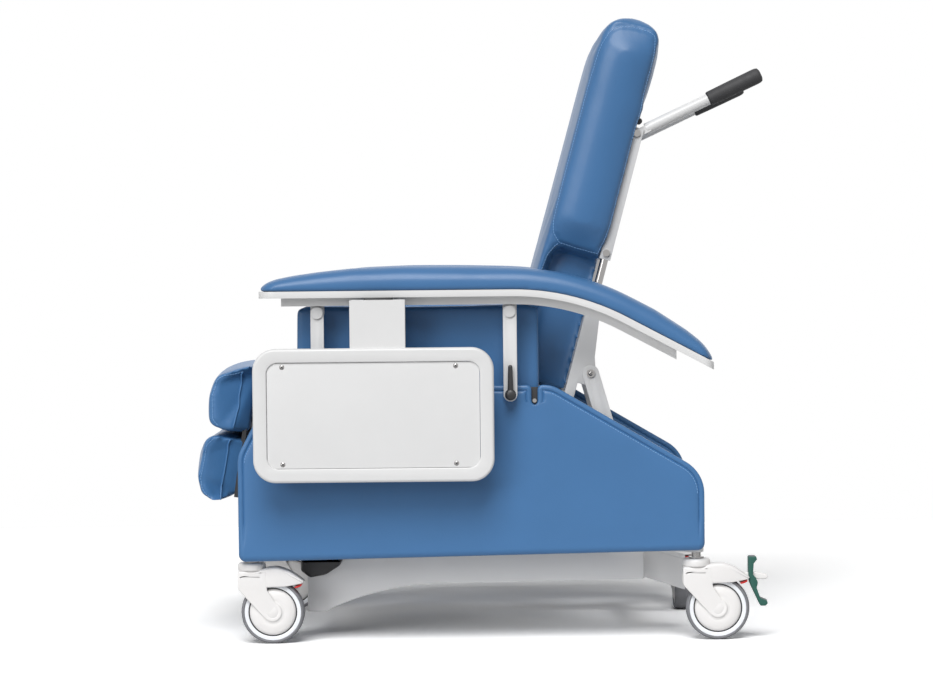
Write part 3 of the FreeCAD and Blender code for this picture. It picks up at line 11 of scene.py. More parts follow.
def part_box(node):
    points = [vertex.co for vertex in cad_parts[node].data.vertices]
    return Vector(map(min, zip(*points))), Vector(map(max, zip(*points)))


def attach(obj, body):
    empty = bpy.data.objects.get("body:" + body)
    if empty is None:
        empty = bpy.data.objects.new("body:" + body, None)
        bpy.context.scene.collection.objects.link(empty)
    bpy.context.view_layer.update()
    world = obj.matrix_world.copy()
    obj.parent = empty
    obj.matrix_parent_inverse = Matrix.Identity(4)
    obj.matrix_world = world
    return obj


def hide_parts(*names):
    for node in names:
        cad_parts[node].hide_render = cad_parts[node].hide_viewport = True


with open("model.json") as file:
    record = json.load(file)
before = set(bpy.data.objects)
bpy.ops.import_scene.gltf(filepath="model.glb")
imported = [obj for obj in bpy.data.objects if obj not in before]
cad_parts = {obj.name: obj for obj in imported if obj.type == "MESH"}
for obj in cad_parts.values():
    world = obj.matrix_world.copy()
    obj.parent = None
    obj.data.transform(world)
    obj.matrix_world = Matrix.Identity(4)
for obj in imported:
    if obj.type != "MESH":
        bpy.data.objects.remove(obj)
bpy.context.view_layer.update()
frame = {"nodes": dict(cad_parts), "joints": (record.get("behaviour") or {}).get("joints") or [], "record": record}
MM = 0.001
nodes = frame["nodes"]
node_body = {name: body for body, names in frame["record"]["behaviour"]["bodies"].items() for name in names}
SIDES = {"left": -1, "right": 1}


# Materials: every one has its colour, roughness and surface worked out from noise in the object's own space
class Shader:
    def __init__(self, name):
        self.material = bpy.data.materials.new(name)
        self.material.use_nodes = True
        self.tree = self.material.node_tree
        self.surface = self.tree.nodes["Principled BSDF"]
        self.place = self.add("ShaderNodeTexCoord").outputs["Object"]

    def add(self, kind, **inputs):
        node = self.tree.nodes.new(kind)
        for name, setting in inputs.items():
            node.inputs[name.replace("_", " ")].default_value = setting
        return node

    def link(self, output, target):
        self.tree.links.new(output, target)

    def noise(self, scale, detail=3.0):
        node = self.add("ShaderNodeTexNoise", Scale=scale, Detail=detail, Roughness=0.55)
        self.link(self.place, node.inputs["Vector"])
        return node.outputs["Fac"]

    def cells(self, scale):
        node = self.add("ShaderNodeTexVoronoi", Scale=scale)
        node.feature = "SMOOTH_F1"
        self.link(self.place, node.inputs["Vector"])
        return node.outputs["Distance"]

    def ramp(self, output, low, high):
        node = self.add("ShaderNodeMapRange")
        node.inputs["To Min"].default_value = low
        node.inputs["To Max"].default_value = high
        self.link(output, node.inputs["Value"])
        return node.outputs["Result"]

    def sum(self, first, second):
        node = self.tree.nodes.new("ShaderNodeMath")
        node.operation = "ADD"
        self.link(first, node.inputs[0])
        self.link(second, node.inputs[1])
        return node.outputs[0]

    def tint(self, colour, spread, scale):
        """Colour that drifts a little lighter and darker over the surface."""
        node = self.tree.nodes.new("ShaderNodeMix")
        node.data_type = "RGBA"
        for index, shift in ((6, 1 - spread), (7, 1 + spread)):
            node.inputs[index].default_value = [min(1, channel * shift) for channel in colour] + [1]
        self.link(self.noise(scale), node.inputs[0])
        self.link(node.outputs[2], self.surface.inputs["Base Color"])

    def rough(self, low, high, scale):
        self.link(self.ramp(self.noise(scale), low, high), self.surface.inputs["Roughness"])

    def bump(self, height, strength, distance):
        node = self.add("ShaderNodeBump", Strength=strength, Distance=distance)
        self.link(height, node.inputs["Height"])
        self.link(node.outputs["Normal"], self.surface.inputs["Normal"])


def vinyl(name, colour):
    shader = Shader(name)
    shader.tint(colour, 0.06, 9)
    shader.rough(0.3, 0.4, 40)
    grain = shader.sum(shader.cells(620), shader.noise(260, 4))
    shader.bump(grain, 0.16, 0.0006)
    shader.surface.inputs["Specular IOR Level"].default_value = 0.35
    return shader.material


def enamel(name, colour, low, high, peel=0.04):
    """Painted or moulded hard surface with a faint peel."""
    shader = Shader(name)
    shader.tint(colour, 0.025, 14)
    shader.rough(low, high, 55)
    shader.bump(shader.noise(520, 2), peel, 0.0004)
    return shader.material


def rubber(name, colour):
    shader = Shader(name)
    shader.tint(colour, 0.18, 60)
    shader.rough(0.55, 0.75, 80)
    shader.bump(shader.noise(900, 4), 0.25, 0.0004)
    return shader.material


def chrome(name):
    shader = Shader(name)
    # The colour is kept dark as a painted reflection: it stands in for surroundings darker than the white studio
    # it reflects.
    shader.tint((0.36, 0.35, 0.345), 0.03, 30)
    shader.rough(0.06, 0.16, 90)
    shader.bump(shader.noise(300, 2), 0.02, 0.0002)
    shader.surface.inputs["Metallic"].default_value = 1.0
    return shader.material


BLUE = (0.053, 0.155, 0.335)
PAINT = {
    "blue_vinyl": vinyl("blue_vinyl", BLUE),
    "thread": rubber("thread", (0.25, 0.47, 0.78)),
    "white_paint": enamel("white_paint", (0.7, 0.7, 0.7), 0.28, 0.4),
    # Darker copy of the white paint for the handle channels: painted shade, because they face up into the light.
    "channel_white_painted_shade": enamel("channel_white_painted_shade", (0.6, 0.6, 0.605), 0.3, 0.42),
    # Lighter copy of the white paint for the base: painted light, because the base sits in shade under the chair.
    "base_white_painted_light": enamel("base_white_painted_light", (0.83, 0.83, 0.835), 0.3, 0.42),
    "white_plastic": enamel("white_plastic", (0.76, 0.745, 0.735), 0.3, 0.42, 0.03),
    "ring_plastic": enamel("ring_plastic", (0.8, 0.82, 0.85), 0.35, 0.5),
    "tray_plastic": enamel("tray_plastic", (0.68, 0.68, 0.68), 0.3, 0.42, 0.05),
    "tray_laminate": enamel("tray_laminate", (0.69, 0.69, 0.69), 0.34, 0.46, 0.08),
    "grey_steel": enamel("grey_steel", (0.23, 0.235, 0.25), 0.35, 0.5),
    "black_plastic": enamel("black_plastic", (0.02, 0.02, 0.022), 0.3, 0.45, 0.08),
    "black_rubber": rubber("black_rubber", (0.026, 0.026, 0.028)),
    "grey_tyre": rubber("grey_tyre", (0.19, 0.193, 0.207)),
    "red_plastic": enamel("red_plastic", (0.55, 0.024, 0.022), 0.3, 0.4),
    "green_plastic": enamel("green_plastic", (0.013, 0.085, 0.065), 0.35, 0.5, 0.06),
    "chrome": chrome("chrome"),
}
slot_of = {part["node"]: part["material_slot"] for part in frame["record"]["subparts"]}
for name, item in nodes.items():
    item.data.materials.clear()
    item.data.materials.append(PAINT[slot_of[name]])
# The leg rest frame is painted black as painted shade for the dark zone behind the leg pads.
nodes["legrest_frame"].data.materials[0] = PAINT["black_plastic"]


# Mesh helpers
def piece(name, mesh, slot, body, paint=None):
    item = bpy.data.objects.new(name, mesh)
    bpy.context.scene.collection.objects.link(item)
    mesh.materials.clear()
    mesh.materials.append(PAINT[paint or slot])
    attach(item, body)
    return item


def mesh_from(name, bm, sharp=None):
    mesh = bpy.data.meshes.new(name)
    bmesh.ops.recalc_face_normals(bm, faces=bm.faces)
    bm.to_mesh(mesh)
    bm.free()
    mesh.shade_smooth()
    if sharp:
        mesh.set_sharp_from_angle(angle=math.radians(sharp))
    return mesh


def clean_copy(node):
    """The node's mesh with its flat faces joined up again."""
    bm = bmesh.new()
    bm.from_mesh(nodes[node].data)
    bmesh.ops.remove_doubles(bm, verts=bm.verts, dist=1e-6)
    bmesh.ops.dissolve_limit(bm, angle_limit=math.radians(0.4), verts=bm.verts, edges=bm.edges)
    return bm


def rounded(node, width, paint=None):
    """Stand-in for a hard node with its sharp edges rounded over."""
    bm = clean_copy(node)
    corner = math.radians(38)
    sharp = [edge for edge in bm.edges if len(edge.link_faces) == 2 and edge.calc_face_angle(0) > corner]
    bmesh.ops.bevel(bm, geom=sharp, offset=width, segments=3, profile=0.5, affect="EDGES", clamp_overlap=True)
    mesh = mesh_from(node + "_shape", bm, sharp=40)
    item = piece(node + "_shape", mesh, slot_of[node], node_body[node], paint)
    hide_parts(node)


def add_tube(bm, points, radius, sides=8):
    """Round rod along points, with blunt tips."""
    rings = []
    normal = None
    for index, point in enumerate(points):
        before = points[max(0, index - 1)]
        after = points[min(len(points) - 1, index + 1)]
        along = (after - before).normalized()
        if normal is None:
            normal = along.orthogonal().normalized()
        normal = (normal - along * normal.dot(along)).normalized()
        side = along.cross(normal)
        ring = []
        for step in range(sides):
            angle = 2 * math.pi * step / sides
            ring.append(bm.verts.new(point + (normal * math.cos(angle) + side * math.sin(angle)) * radius))
        rings.append(ring)
    for first, last in zip(rings, rings[1:]):
        for step in range(sides):
            following = (step + 1) % sides
            bm.faces.new((first[step], first[following], last[following], last[step]))
    for ring, centre, way in ((rings[0], points[0], points[0] - points[1]),
                              (rings[-1], points[-1], points[-1] - points[-2])):
        tip = bm.verts.new(centre + way.normalized() * radius * 0.8)
        for step in range(sides):
            bm.faces.new((ring[step], ring[(step + 1) % sides], tip))


def resample(points, pitch, closed=False):
    """Points spaced evenly along a line."""
    line = points + points[:1] if closed else points
    lengths = [0.0]
    for first, last in zip(line, line[1:]):
        lengths.append(lengths[-1] + (last - first).length)
    count = max(2, round(lengths[-1] / pitch))
    result = []
    place = 0
    for step in range(count if closed else count + 1):
        wanted = lengths[-1] * step / count
        while place + 2 < len(line) and lengths[place + 1] < wanted:
            place += 1
        span = lengths[place + 1] - lengths[place]
        share = (wanted - lengths[place]) / span if span else 0
        result.append(line[place].lerp(line[place + 1], min(1, share)))
    return result


def rounded_loop(corners, steps=8):
    """Closed outline of corners (x, y, radius) with each corner rounded."""
    points = []
    count = len(corners)
    for index, (x, y, radius) in enumerate(corners):
        here = Vector((x, y))
        to_last = (Vector(corners[index - 1][:2]) - here).normalized()
        to_next = (Vector(corners[(index + 1) % count][:2]) - here).normalized()
        half = to_last.angle(to_next) / 2
        if radius <= 0:
            points.append(here)
            continue
        reach = radius / math.tan(half)
        centre = here + (to_last + to_next).normalized() * (radius / math.sin(half))
        start = here + to_last * reach - centre
        end = here + to_next * reach - centre
        turn = start.angle_signed(end)
        for step in range(steps + 1):
            angle = -turn * step / steps
            cos, sin = math.cos(angle), math.sin(angle)
            points.append(centre + Vector((start.x * cos - start.y * sin, start.x * sin + start.y * cos)))
    return points


def inset(points, distance):
    """Closed outline moved inwards; the outline runs anticlockwise."""
    result = []
    count = len(points)
    for index, point in enumerate(points):
        before = (point - points[index - 1]).normalized()
        after = (points[(index + 1) % count] - point).normalized()
        left = Vector((-before.y, before.x)) + Vector((-after.y, after.x))
        left.normalize()
        spread = max(0.35, left.dot(Vector((-before.y, before.x))))
        result.append(point + left * (distance / spread))
    return result


def add_slab(bm, outline, low, high, radius, put, steps=4):
    """Plate with rounded edges: an outline, its reach along the third axis, and put to place its points."""
    rings = []
    for face, way in ((low, 1), (high, -1)):
        for step in range(steps + 1):
            angle = math.pi / 2 * (step if way > 0 else steps - step) / steps
            edge = inset(outline, radius * (1 - math.sin(angle)))
            depth = face + way * radius * (1 - math.cos(angle))
            rings.append([bm.verts.new(put(point.x, point.y, depth)) for point in edge])
    count = len(outline)
    for first, last in zip(rings, rings[1:]):
        for index in range(count):
            following = (index + 1) % count
            bm.faces.new((first[index], first[following], last[following], last[index]))
    bm.faces.new(rings[0][::-1])
    bm.faces.new(rings[-1])


# Frames of the leaning pieces: the back about its foot, the leg rest about its joint
joints = {joint["name"]: joint for joint in frame["joints"]}
BACK_LEAN = math.radians(15)
BACK_FOOT = Vector((0.183, 0, 0.489))
back_frame = Matrix.Translation(BACK_FOOT) @ Matrix.Rotation(BACK_LEAN, 4, "Y")
LEGREST_TILT = math.radians(8)
leg_frame = (Matrix.Translation(Vector(joints["legrest_tilt"]["pos_m"]))
             @ Matrix.Rotation(LEGREST_TILT, 4, "Y"))


# Upholstery: a pad is remeshed, blown up as cloth held at its seams, and creased along them
def modifier_result(item):
    graph = bpy.context.evaluated_depsgraph_get()
    return bpy.data.meshes.new_from_object(item.evaluated_get(graph))


def seam_tree(seams):
    points = [point for seam in seams for point in seam]
    tree = KDTree(max(1, len(points)))
    for index, point in enumerate(points):
        tree.insert(point, index)
    tree.balance()
    return tree if points else None


CLOTH_FRAMES = 20


def blow_up(item, held, pressure, cap):
    """Cloth with pressure inside, held where held(vertex) is true; no point moves further than cap."""
    mesh = item.data
    start = [vertex.co.copy() for vertex in mesh.vertices]
    group = item.vertex_groups.new(name="held")
    group.add([index for index, point in enumerate(start) if held(point)], 1.0, "REPLACE")
    cloth = item.modifiers.new("Cloth", "CLOTH")
    settings = cloth.settings
    settings.quality = 4
    settings.mass = 0.25
    settings.tension_stiffness = 25
    settings.compression_stiffness = 25
    settings.shear_stiffness = 12
    settings.bending_stiffness = 2
    settings.use_pressure = True
    settings.uniform_pressure_force = pressure
    settings.vertex_group_mass = "held"
    settings.pin_stiffness = 1.0
    settings.effector_weights.gravity = 0
    cloth.point_cache.frame_start = 1
    cloth.point_cache.frame_end = CLOTH_FRAMES
    for step in range(1, CLOTH_FRAMES + 1):
        bpy.context.scene.frame_set(step)
    result = modifier_result(item)
    for vertex, old, new in zip(mesh.vertices, start, result.vertices):
        shift = new.co - old
        if shift.length > cap:
            shift *= cap / shift.length
        vertex.co = old + shift
    bpy.data.meshes.remove(result)
    item.modifiers.clear()
    item.vertex_groups.clear()
    bpy.context.scene.frame_set(1)


def smooth(item, factor, repeat):
    modifier = item.modifiers.new("Smooth", "SMOOTH")
    modifier.factor = factor
    modifier.iterations = repeat
    take_modifiers(item)


def take_modifiers(item):
    mesh = modifier_result(item)
    item.modifiers.clear()
    old = item.data
    item.data = mesh
    bpy.data.meshes.remove(old)


PUCKER = 0.0005
PUCKER_REACH = 0.011


def crease(item, seams, depth, width):
    """Draw the surface in along the seams, with small puckers beside them."""
    tree = seam_tree(seams)
    if tree is None:
        return
    mesh = item.data
    normals = [vertex.normal.copy() for vertex in mesh.vertices]
    for vertex, normal in zip(mesh.vertices, normals):
        _, index, distance = tree.find(vertex.co)
        if distance < PUCKER_REACH * 2:
            drawn = depth * math.exp(-(distance / width) ** 2)
            pucker = PUCKER * math.sin(index * 1.7) * math.exp(-(distance / PUCKER_REACH) ** 2)
            vertex.co -= normal * (drawn + pucker)


def loft(name, rings):
    """Closed mesh through rings of points, closed at both ends."""
    bm = bmesh.new()
    rows = [[bm.verts.new(point) for point in ring] for ring in rings]
    for first, last in zip(rows, rows[1:]):
        for index in range(len(first)):
            following = (index + 1) % len(first)
            bm.faces.new((first[index], first[following], last[following], last[index]))
    bm.faces.new(rows[0])
    bm.faces.new(rows[-1])
    return mesh_from(name, bm)


def between(table, place):
    """Value at a place in a table of (place, value) rows, straight between them."""
    for (low, first), (high, last) in zip(table, table[1:]):
        if place <= high:
            share = max(0, (place - low) / (high - low))
            return first + (last - first) * share
    return table[-1][1]


def ease(share):
    share = min(1, max(0, share))
    return share * share * (3 - 2 * share)


def upholster(node, name, body, held, seams=(), shape=None, voxel=0.006, cap=0.016, pressure=4.0,
              groove=0.003, mesh=None):
    """Padded piece that stands for a soft node."""
    item = bpy.data.objects.new(name, mesh or nodes[node].data.copy())
    bpy.context.scene.collection.objects.link(item)
    if shape:
        for vertex in item.data.vertices:
            vertex.co = shape(vertex.co)
    remesh = item.modifiers.new("Remesh", "REMESH")
    remesh.mode = "VOXEL"
    remesh.voxel_size = voxel
    take_modifiers(item)
    smooth(item, 0.5, 4)
    seams = [list(seam) for seam in seams]
    tree = seam_tree(seams)

    def fixed(point):
        near = tree is not None and tree.find(point)[2] < voxel * 0.8
        return near or held(point)

    blow_up(item, fixed, pressure, cap)
    smooth(item, 0.5, 6)
    crease(item, seams, groove, voxel * 0.9)
    subdivide = item.modifiers.new("Subdivision", "SUBSURF")
    subdivide.levels = 1
    take_modifiers(item)
    item.data.shade_smooth()
    item.data.materials.clear()
    item.data.materials.append(PAINT["blue_vinyl"])
    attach(item, body)
    return item


def surface_of(item):
    return BVHTree.FromPolygons([vertex.co for vertex in item.data.vertices],
                                [polygon.vertices for polygon in item.data.polygons])


def laid(points, surface, lift):
    """Points brought down on a surface."""
    result = []
    for point in points:
        place, normal, _, _ = surface.find_nearest(point)
        result.append(place + normal * lift)
    return result


STITCH_PITCH = 0.0056
STITCH_LENGTH = 0.0038
STITCH_RADIUS = 0.0005
THREAD_LIFT = 0.0004


def stitch(name, lines, body):
    """Rows of thread along lines that lie on a surface."""
    bm = bmesh.new()
    for line in lines:
        row = resample(line, STITCH_PITCH)
        for first, last in zip(row, row[1:]):
            way = (last - first).normalized()
            add_tube(bm, [first, first + way * STITCH_LENGTH], STITCH_RADIUS, sides=5)
    piece(name, mesh_from(name, bm), "blue_vinyl", body, "thread")


# Back cushion: a puffed side panel in a stitched seam on each side, a drawn-in gusset below it
BACK_HALF = 0.262
BACK_FRONT = [(0, -0.116), (0.3, -0.113), (0.6, -0.111), (0.66, -0.1095), (0.69, -0.1075), (0.71, -0.103),
              (0.724, -0.096), (0.736, -0.086), (0.743, -0.073), (0.747, -0.052)]
BACK_REAR = [(0, 0), (0.545, 0), (0.575, 0.008), (0.7, 0.011), (0.719, 0.008), (0.732, 0.001),
             (0.741, -0.012), (0.747, -0.04)]
BACK_TOP = 0.747
SHOULDER, SHOULDER_HEIGHT, SHOULDER_INSET = 0.722, 0.0225, 0.022
BACK_LIP = 0.009
BACK_BOLSTER = 0.003
PANEL_LOW, PANEL_HIGH = 0.276, 0.729
PANEL_PUFF = 0.022
GUSSET_INSET = 0.055
PANEL_SEAM = [(-0.104, 0.318), (-0.106, 0.44), (-0.105, 0.579), (-0.098, 0.672), (-0.091, 0.708),
              (-0.08, 0.722), (-0.05, 0.73), (-0.018, 0.729), (-0.001, 0.723), (0.002, 0.7), (0.001, 0.5),
              (0.001, 0.3),
              (-0.001, 0.274), (-0.054, 0.275), (-0.083, 0.28), (-0.099, 0.297)]
GUSSET_EDGE = [(0.12, -0.104), (0.222, -0.103), (0.25, -0.1), (PANEL_LOW, -0.088)]
GUSSET_SEAM = [(-0.086, 0.277), (-0.098, 0.25), (-0.101, 0.222), (-0.102, 0.12), (-0.102, 0.02)]


def back_width(up):
    """Half width of the cushion, rounded in towards its top."""
    rise = max(0, (up - SHOULDER) / SHOULDER_HEIGHT)
    return BACK_HALF - SHOULDER_INSET * (1 - math.sqrt(max(0, 1 - rise ** 2)))


def back_side(thick, up, front, rear):
    """Half width at a place of the side: puffed in the panel, drawn in below it."""
    across = (thick - (front + rear) / 2) / ((rear - front) / 2)
    puff = PANEL_PUFF * max(0, 1 - across ** 2) ** 0.8
    puff *= ease((up - PANEL_LOW) / 0.06) * ease((PANEL_HIGH - up) / 0.06)
    edge = between(GUSSET_EDGE, up)
    drawn = GUSSET_INSET * ease((PANEL_LOW + 0.002 - up) / 0.014) * ease((thick - edge) / 0.008)
    return back_width(up) + puff - drawn


def back_section(up):
    front, rear = between(BACK_FRONT, up), between(BACK_REAR, up)
    width = back_width(up)
    lip = BACK_LIP * ease((up - 0.29) / 0.02) * ease((0.6 - up) / 0.05)
    half = [(rear, width * step / 10) for step in range(9)]
    half += [(rear, width - 0.0115), (rear + lip, width - 0.009)]
    for step in range(25):
        thick = rear + lip + (front - rear - lip) * (step + 0.5) / 25
        half.append((thick, back_side(thick, up, front, rear + lip)))
    for step in range(11):
        share = 0.97 - 0.97 * step / 10
        bolster = BACK_BOLSTER * (1 - max(0, (share - 0.86) / 0.11) ** 2)
        half.append((front - bolster, width * share))
    whole = half + [(thick, -out) for thick, out in reversed(half[1:-1])]
    return [back_frame @ Vector((thick, out, up)) for thick, out in whole]


def back_seams(side):
    lines = []
    for line in (PANEL_SEAM + PANEL_SEAM[:1], GUSSET_SEAM):
        places = [back_frame @ Vector((thick, side * BACK_HALF, up)) for thick, up in line]
        lines.append(resample(places, 0.003))
    return lines


def back_held(point):
    local = back_frame.inverted() @ point
    return local.x > -0.004 and local.z < 0.56 or local.z < 0.012


BACK_STATIONS = [0, 0.06, 0.12, 0.18, 0.222, 0.25, 0.262, 0.27, 0.278, 0.29, 0.305, 0.33, 0.37, 0.42, 0.47,
                 0.52, 0.545, 0.57, 0.6, 0.63, 0.66, 0.68, 0.695, 0.708, 0.718, 0.726, 0.734, 0.742, BACK_TOP]
back_lines = {side: back_seams(sign) for side, sign in SIDES.items()}
back_pad = upholster("back_cushion", "back_pad", "back", back_held, back_lines["left"] + back_lines["right"],
                     cap=0.005, pressure=2.2,
                     mesh=loft("back_pad", [back_section(up) for up in BACK_STATIONS]))
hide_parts("back_cushion")
back_surface = surface_of(back_pad)
for side, lines in back_lines.items():
    rows = [laid(line, back_surface, THREAD_LIFT) for line in lines]
    stitch(f"back_stitching_{side}", rows, "back")

# Leg rest pads: side outlines (forward, up) in their own frame, stitched in front and piped behind
LEG_HALF = 0.250
LEG_REAR = -0.009
LEG_PADS = {
    "upper": {
        "outline": [(LEG_REAR, -0.014, 0.004), (LEG_REAR, 0.124, 0.01), (-0.05, 0.107, 0.03),
                    (-0.0845, 0.0905, 0.016), (-0.0945, 0.05, 0.06), (-0.089, -0.004, 0.016),
                    (-0.066, -0.0145, 0.014)],
        "front": [(-0.07, -0.006), (-0.0815, 0.004), (-0.0885, 0.05), (-0.0805, 0.086), (-0.066, 0.093),
                  (-0.026, 0.0945)],
        "rear": [(-0.026, 0.0925), (-0.036, -0.008)],
    },
    "lower": {
        "outline": [(LEG_REAR, -0.13, 0.006), (LEG_REAR, -0.031, 0.004), (-0.08, -0.028, 0.008),
                    (-0.0925, -0.041, 0.012), (-0.097, -0.116, 0.05), (-0.085, -0.145, 0.016),
                    (-0.066, -0.156, 0.014), (-0.041, -0.153, 0.01)],
        "front": [(-0.068, -0.149), (-0.0815, -0.138), (-0.0895, -0.115), (-0.0855, -0.048),
                  (-0.074, -0.034)],
        "rear": [(-0.036, -0.034), (-0.041, -0.147)],
    },
}
LEG_CROWN = 0.008
LEG_TOP_CROWN = 0.004
LEG_WAIST = 0.034
PIPING = 0.0019


def leg_section(outline, out):
    """Outline at a distance from the middle, fuller towards the middle and rounded at the sides."""
    share = abs(out) / LEG_HALF
    middle = 1 - share ** 2
    points = []
    for point in outline:
        forward, up = point.xy
        if forward < -0.04:
            forward -= LEG_CROWN * middle
        if up > 0.06:
            up += LEG_TOP_CROWN * middle * (1 - share)
        points.append(leg_frame @ Vector((forward, out, up)))
    return points


def leg_waist(rear):
    """Shape that draws the pad's sides in behind its rear seam."""
    (top_forward, top), (foot_forward, foot) = rear

    def shape(point):
        local = leg_frame.inverted() @ point
        seam = foot_forward + (top_forward - foot_forward) * (local.z - foot) / (top - foot)
        if abs(local.y) > LEG_HALF * 0.6:
            local.y -= math.copysign(LEG_WAIST * ease((local.x - seam - 0.002) / 0.008), local.y)
        return leg_frame @ local

    return shape


def leg_seam(row, side):
    """Seam on one side of a pad, as evenly spaced points."""
    return resample([leg_frame @ Vector((forward, side * LEG_HALF, up)) for forward, up in row], 0.0025)


def leg_held(point):
    return (leg_frame.inverted() @ point).x > LEG_REAR - 0.006


LEG_STATIONS = [-1, -0.97, -0.9, -0.75, -0.5, -0.25, 0, 0.25, 0.5, 0.75, 0.9, 0.97, 1]
for pad, form in LEG_PADS.items():
    node = f"legrest_{pad}_cushion"
    corners = rounded_loop(form["outline"], steps=6)
    outline = resample([point.to_3d() for point in corners], 0.006, closed=True)
    lines = {side: [leg_seam(form[row], sign) for row in ("front", "rear")] for side, sign in SIDES.items()}
    sections = [leg_section(outline, share * LEG_HALF) for share in LEG_STATIONS]
    item = upholster(node, f"leg_pad_{pad}", "legrest", leg_held, lines["left"] + lines["right"],
                     leg_waist(form["rear"]), voxel=0.005, cap=0.006, pressure=4, groove=0.0025,
                     mesh=loft(f"leg_pad_{pad}", sections))
    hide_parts(node)
    surface = surface_of(item)
    for side, (front, rear) in lines.items():
        stitch(f"leg_pad_{pad}_stitching_{side}", [laid(front, surface, THREAD_LIFT)], "legrest")
        bm = bmesh.new()
        add_tube(bm, resample(laid(rear, surface, PIPING * 0.4), 0.006), PIPING)
        name = f"leg_pad_{pad}_piping_{side}"
        piece(name, mesh_from(name, bm), "blue_vinyl", "legrest")

# Seat cushion and inner arm panels
SEAT_FOOT = 0.456
PANEL_FACE = 0.301
seat = upholster("seat_cushion", "seat_pad", "frame", lambda point: point.z < SEAT_FOOT, cap=0.018)
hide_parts("seat_cushion")
panels = upholster("arm_panels", "inner_arm_pads", "frame", lambda point: abs(point.y) > PANEL_FACE,
                   voxel=0.005, cap=0.006)
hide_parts("arm_panels")

# Arm pads: thickness along the arm, on the board's curved top, in metres
ARM_PROFILE = [(-0.413, 0.001), (-0.411, 0.006), (-0.407, 0.011), (-0.397, 0.0177), (-0.381, 0.0236),
               (-0.349, 0.03), (-0.297, 0.037), (-0.232, 0.0435), (-0.135, 0.0465), (-0.037, 0.0455),
               (0.05, 0.0435), (0.128, 0.0415), (0.225, 0.041), (0.29, 0.0425), (0.356, 0.043), (0.42, 0.035),
               (0.445, 0.028), (0.46, 0.0185), (0.467, 0.01), (0.47, 0.001)]
ARM_MIDDLE, ARM_HALF = 0.346, 0.0398
ARM_NOSE, ARM_TAIL = 0.036, 0.026
ARM_FULLNESS = 0.72


def arm_board_top(side):
    """Height of the trim board's top along the arm."""
    trim = nodes[f"arm_trim_{side}"]
    tree = surface_of(trim)
    rows = []
    for step in range(89):
        along = ARM_PROFILE[0][0] + 0.0035 + step * 0.00995
        hit = tree.ray_cast(Vector((along, SIDES[side] * ARM_MIDDLE, 1)), Vector((0, 0, -1)))[0]
        rows.append((along, hit.z))
    return rows


def arm_section(along, thick, base, sign):
    front, rear = ARM_PROFILE[0][0], ARM_PROFILE[-1][0]
    nose = max(0, 1 - (along - front) / ARM_NOSE)
    tail = max(0, 1 - (rear - along) / ARM_TAIL)
    half = ARM_HALF * math.sqrt(max(0.02, 1 - nose ** 2.4)) * math.sqrt(max(0.02, 1 - tail ** 2.4))
    points = []
    for step in range(25):
        angle = math.pi * step / 24
        out = math.copysign(abs(math.cos(angle)) ** ARM_FULLNESS, math.cos(angle))
        up = math.sin(angle) ** ARM_FULLNESS
        points.append(Vector((along, sign * ARM_MIDDLE + half * out, base + thick * up)))
    return points


for side, sign in SIDES.items():
    node = f"arm_pad_{side}"
    board = arm_board_top(side)
    stations = [ARM_PROFILE[0][0]] + [row[0] for row in board] + [ARM_PROFILE[-1][0]]
    sections = [arm_section(along, between(ARM_PROFILE, along), between(board, along), sign)
                for along in stations]

    def arm_held(point):
        return point.z < between(board, point.x) + 0.004

    item = upholster(node, f"arm_cushion_{side}", f"arm_{side}", arm_held, voxel=0.004, cap=0.003, pressure=2,
                     mesh=loft(f"arm_cushion_{side}", sections))
    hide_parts(node)

# Side panels: upholstered boards with a padded face, a welted edge and a notch
SIDE_INNER, SIDE_OUTER = 0.305, 0.335
SIDE_TOP = 0.505
SIDE_FOOT_FRONT, SIDE_FOOT_REAR = 0.164, 0.179
SLOT = 0.122
SLOT_HALF = 0.006
SLOT_FLOOR = 0.468
HEM = 0.0105
HEM_STITCH = 0.0135


def side_outline():
    soft = 0.060
    lip = 0.009
    slot = [(SLOT + SLOT_HALF, SIDE_TOP, lip), (SLOT + SLOT_HALF, SLOT_FLOOR, SLOT_HALF * 0.98),
            (SLOT - SLOT_HALF, SLOT_FLOOR, SLOT_HALF * 0.98), (SLOT - SLOT_HALF, SIDE_TOP, lip)]
    corners = [(-0.460, SIDE_FOOT_FRONT, 0.014), (0.452, SIDE_FOOT_REAR, 0.014), (0.452, 0.331, 0.07),
               (0.156, SIDE_TOP, soft)] + slot + [(-0.390, SIDE_TOP, soft), (-0.460, 0.372, soft)]
    return rounded_loop(corners)


def side_depth(edge, height):
    """How far a point of the face lies behind its highest place, by its distance from the edge."""
    sewn = min(1, max(0, (height - 0.19) / 0.05))
    welt = 0.004 * (1 - math.sqrt(max(0, 1 - (1 - min(1, edge / 0.006)) ** 2)))
    seam = 0.0022 * math.exp(-((edge - HEM) / 0.0016) ** 2)
    pad = 0.0035 * math.exp(-max(0, edge - HEM) / 0.014) if edge > HEM else 0.0035
    soft = 0.0085 * (1 - math.sqrt(max(0, 1 - (1 - min(1, edge / 0.012)) ** 2)))
    return 0.0005 + sewn * (welt + seam + pad) + (1 - sewn) * soft


PILLOW_PITCH = 0.02
PILLOW_ROWS = (0.0006, 0.0015, 0.003, 0.005, 0.007, 0.0088, 0.0098, 0.0105, 0.0112, 0.0122, 0.014, 0.0175,
               0.023, 0.031, 0.042)


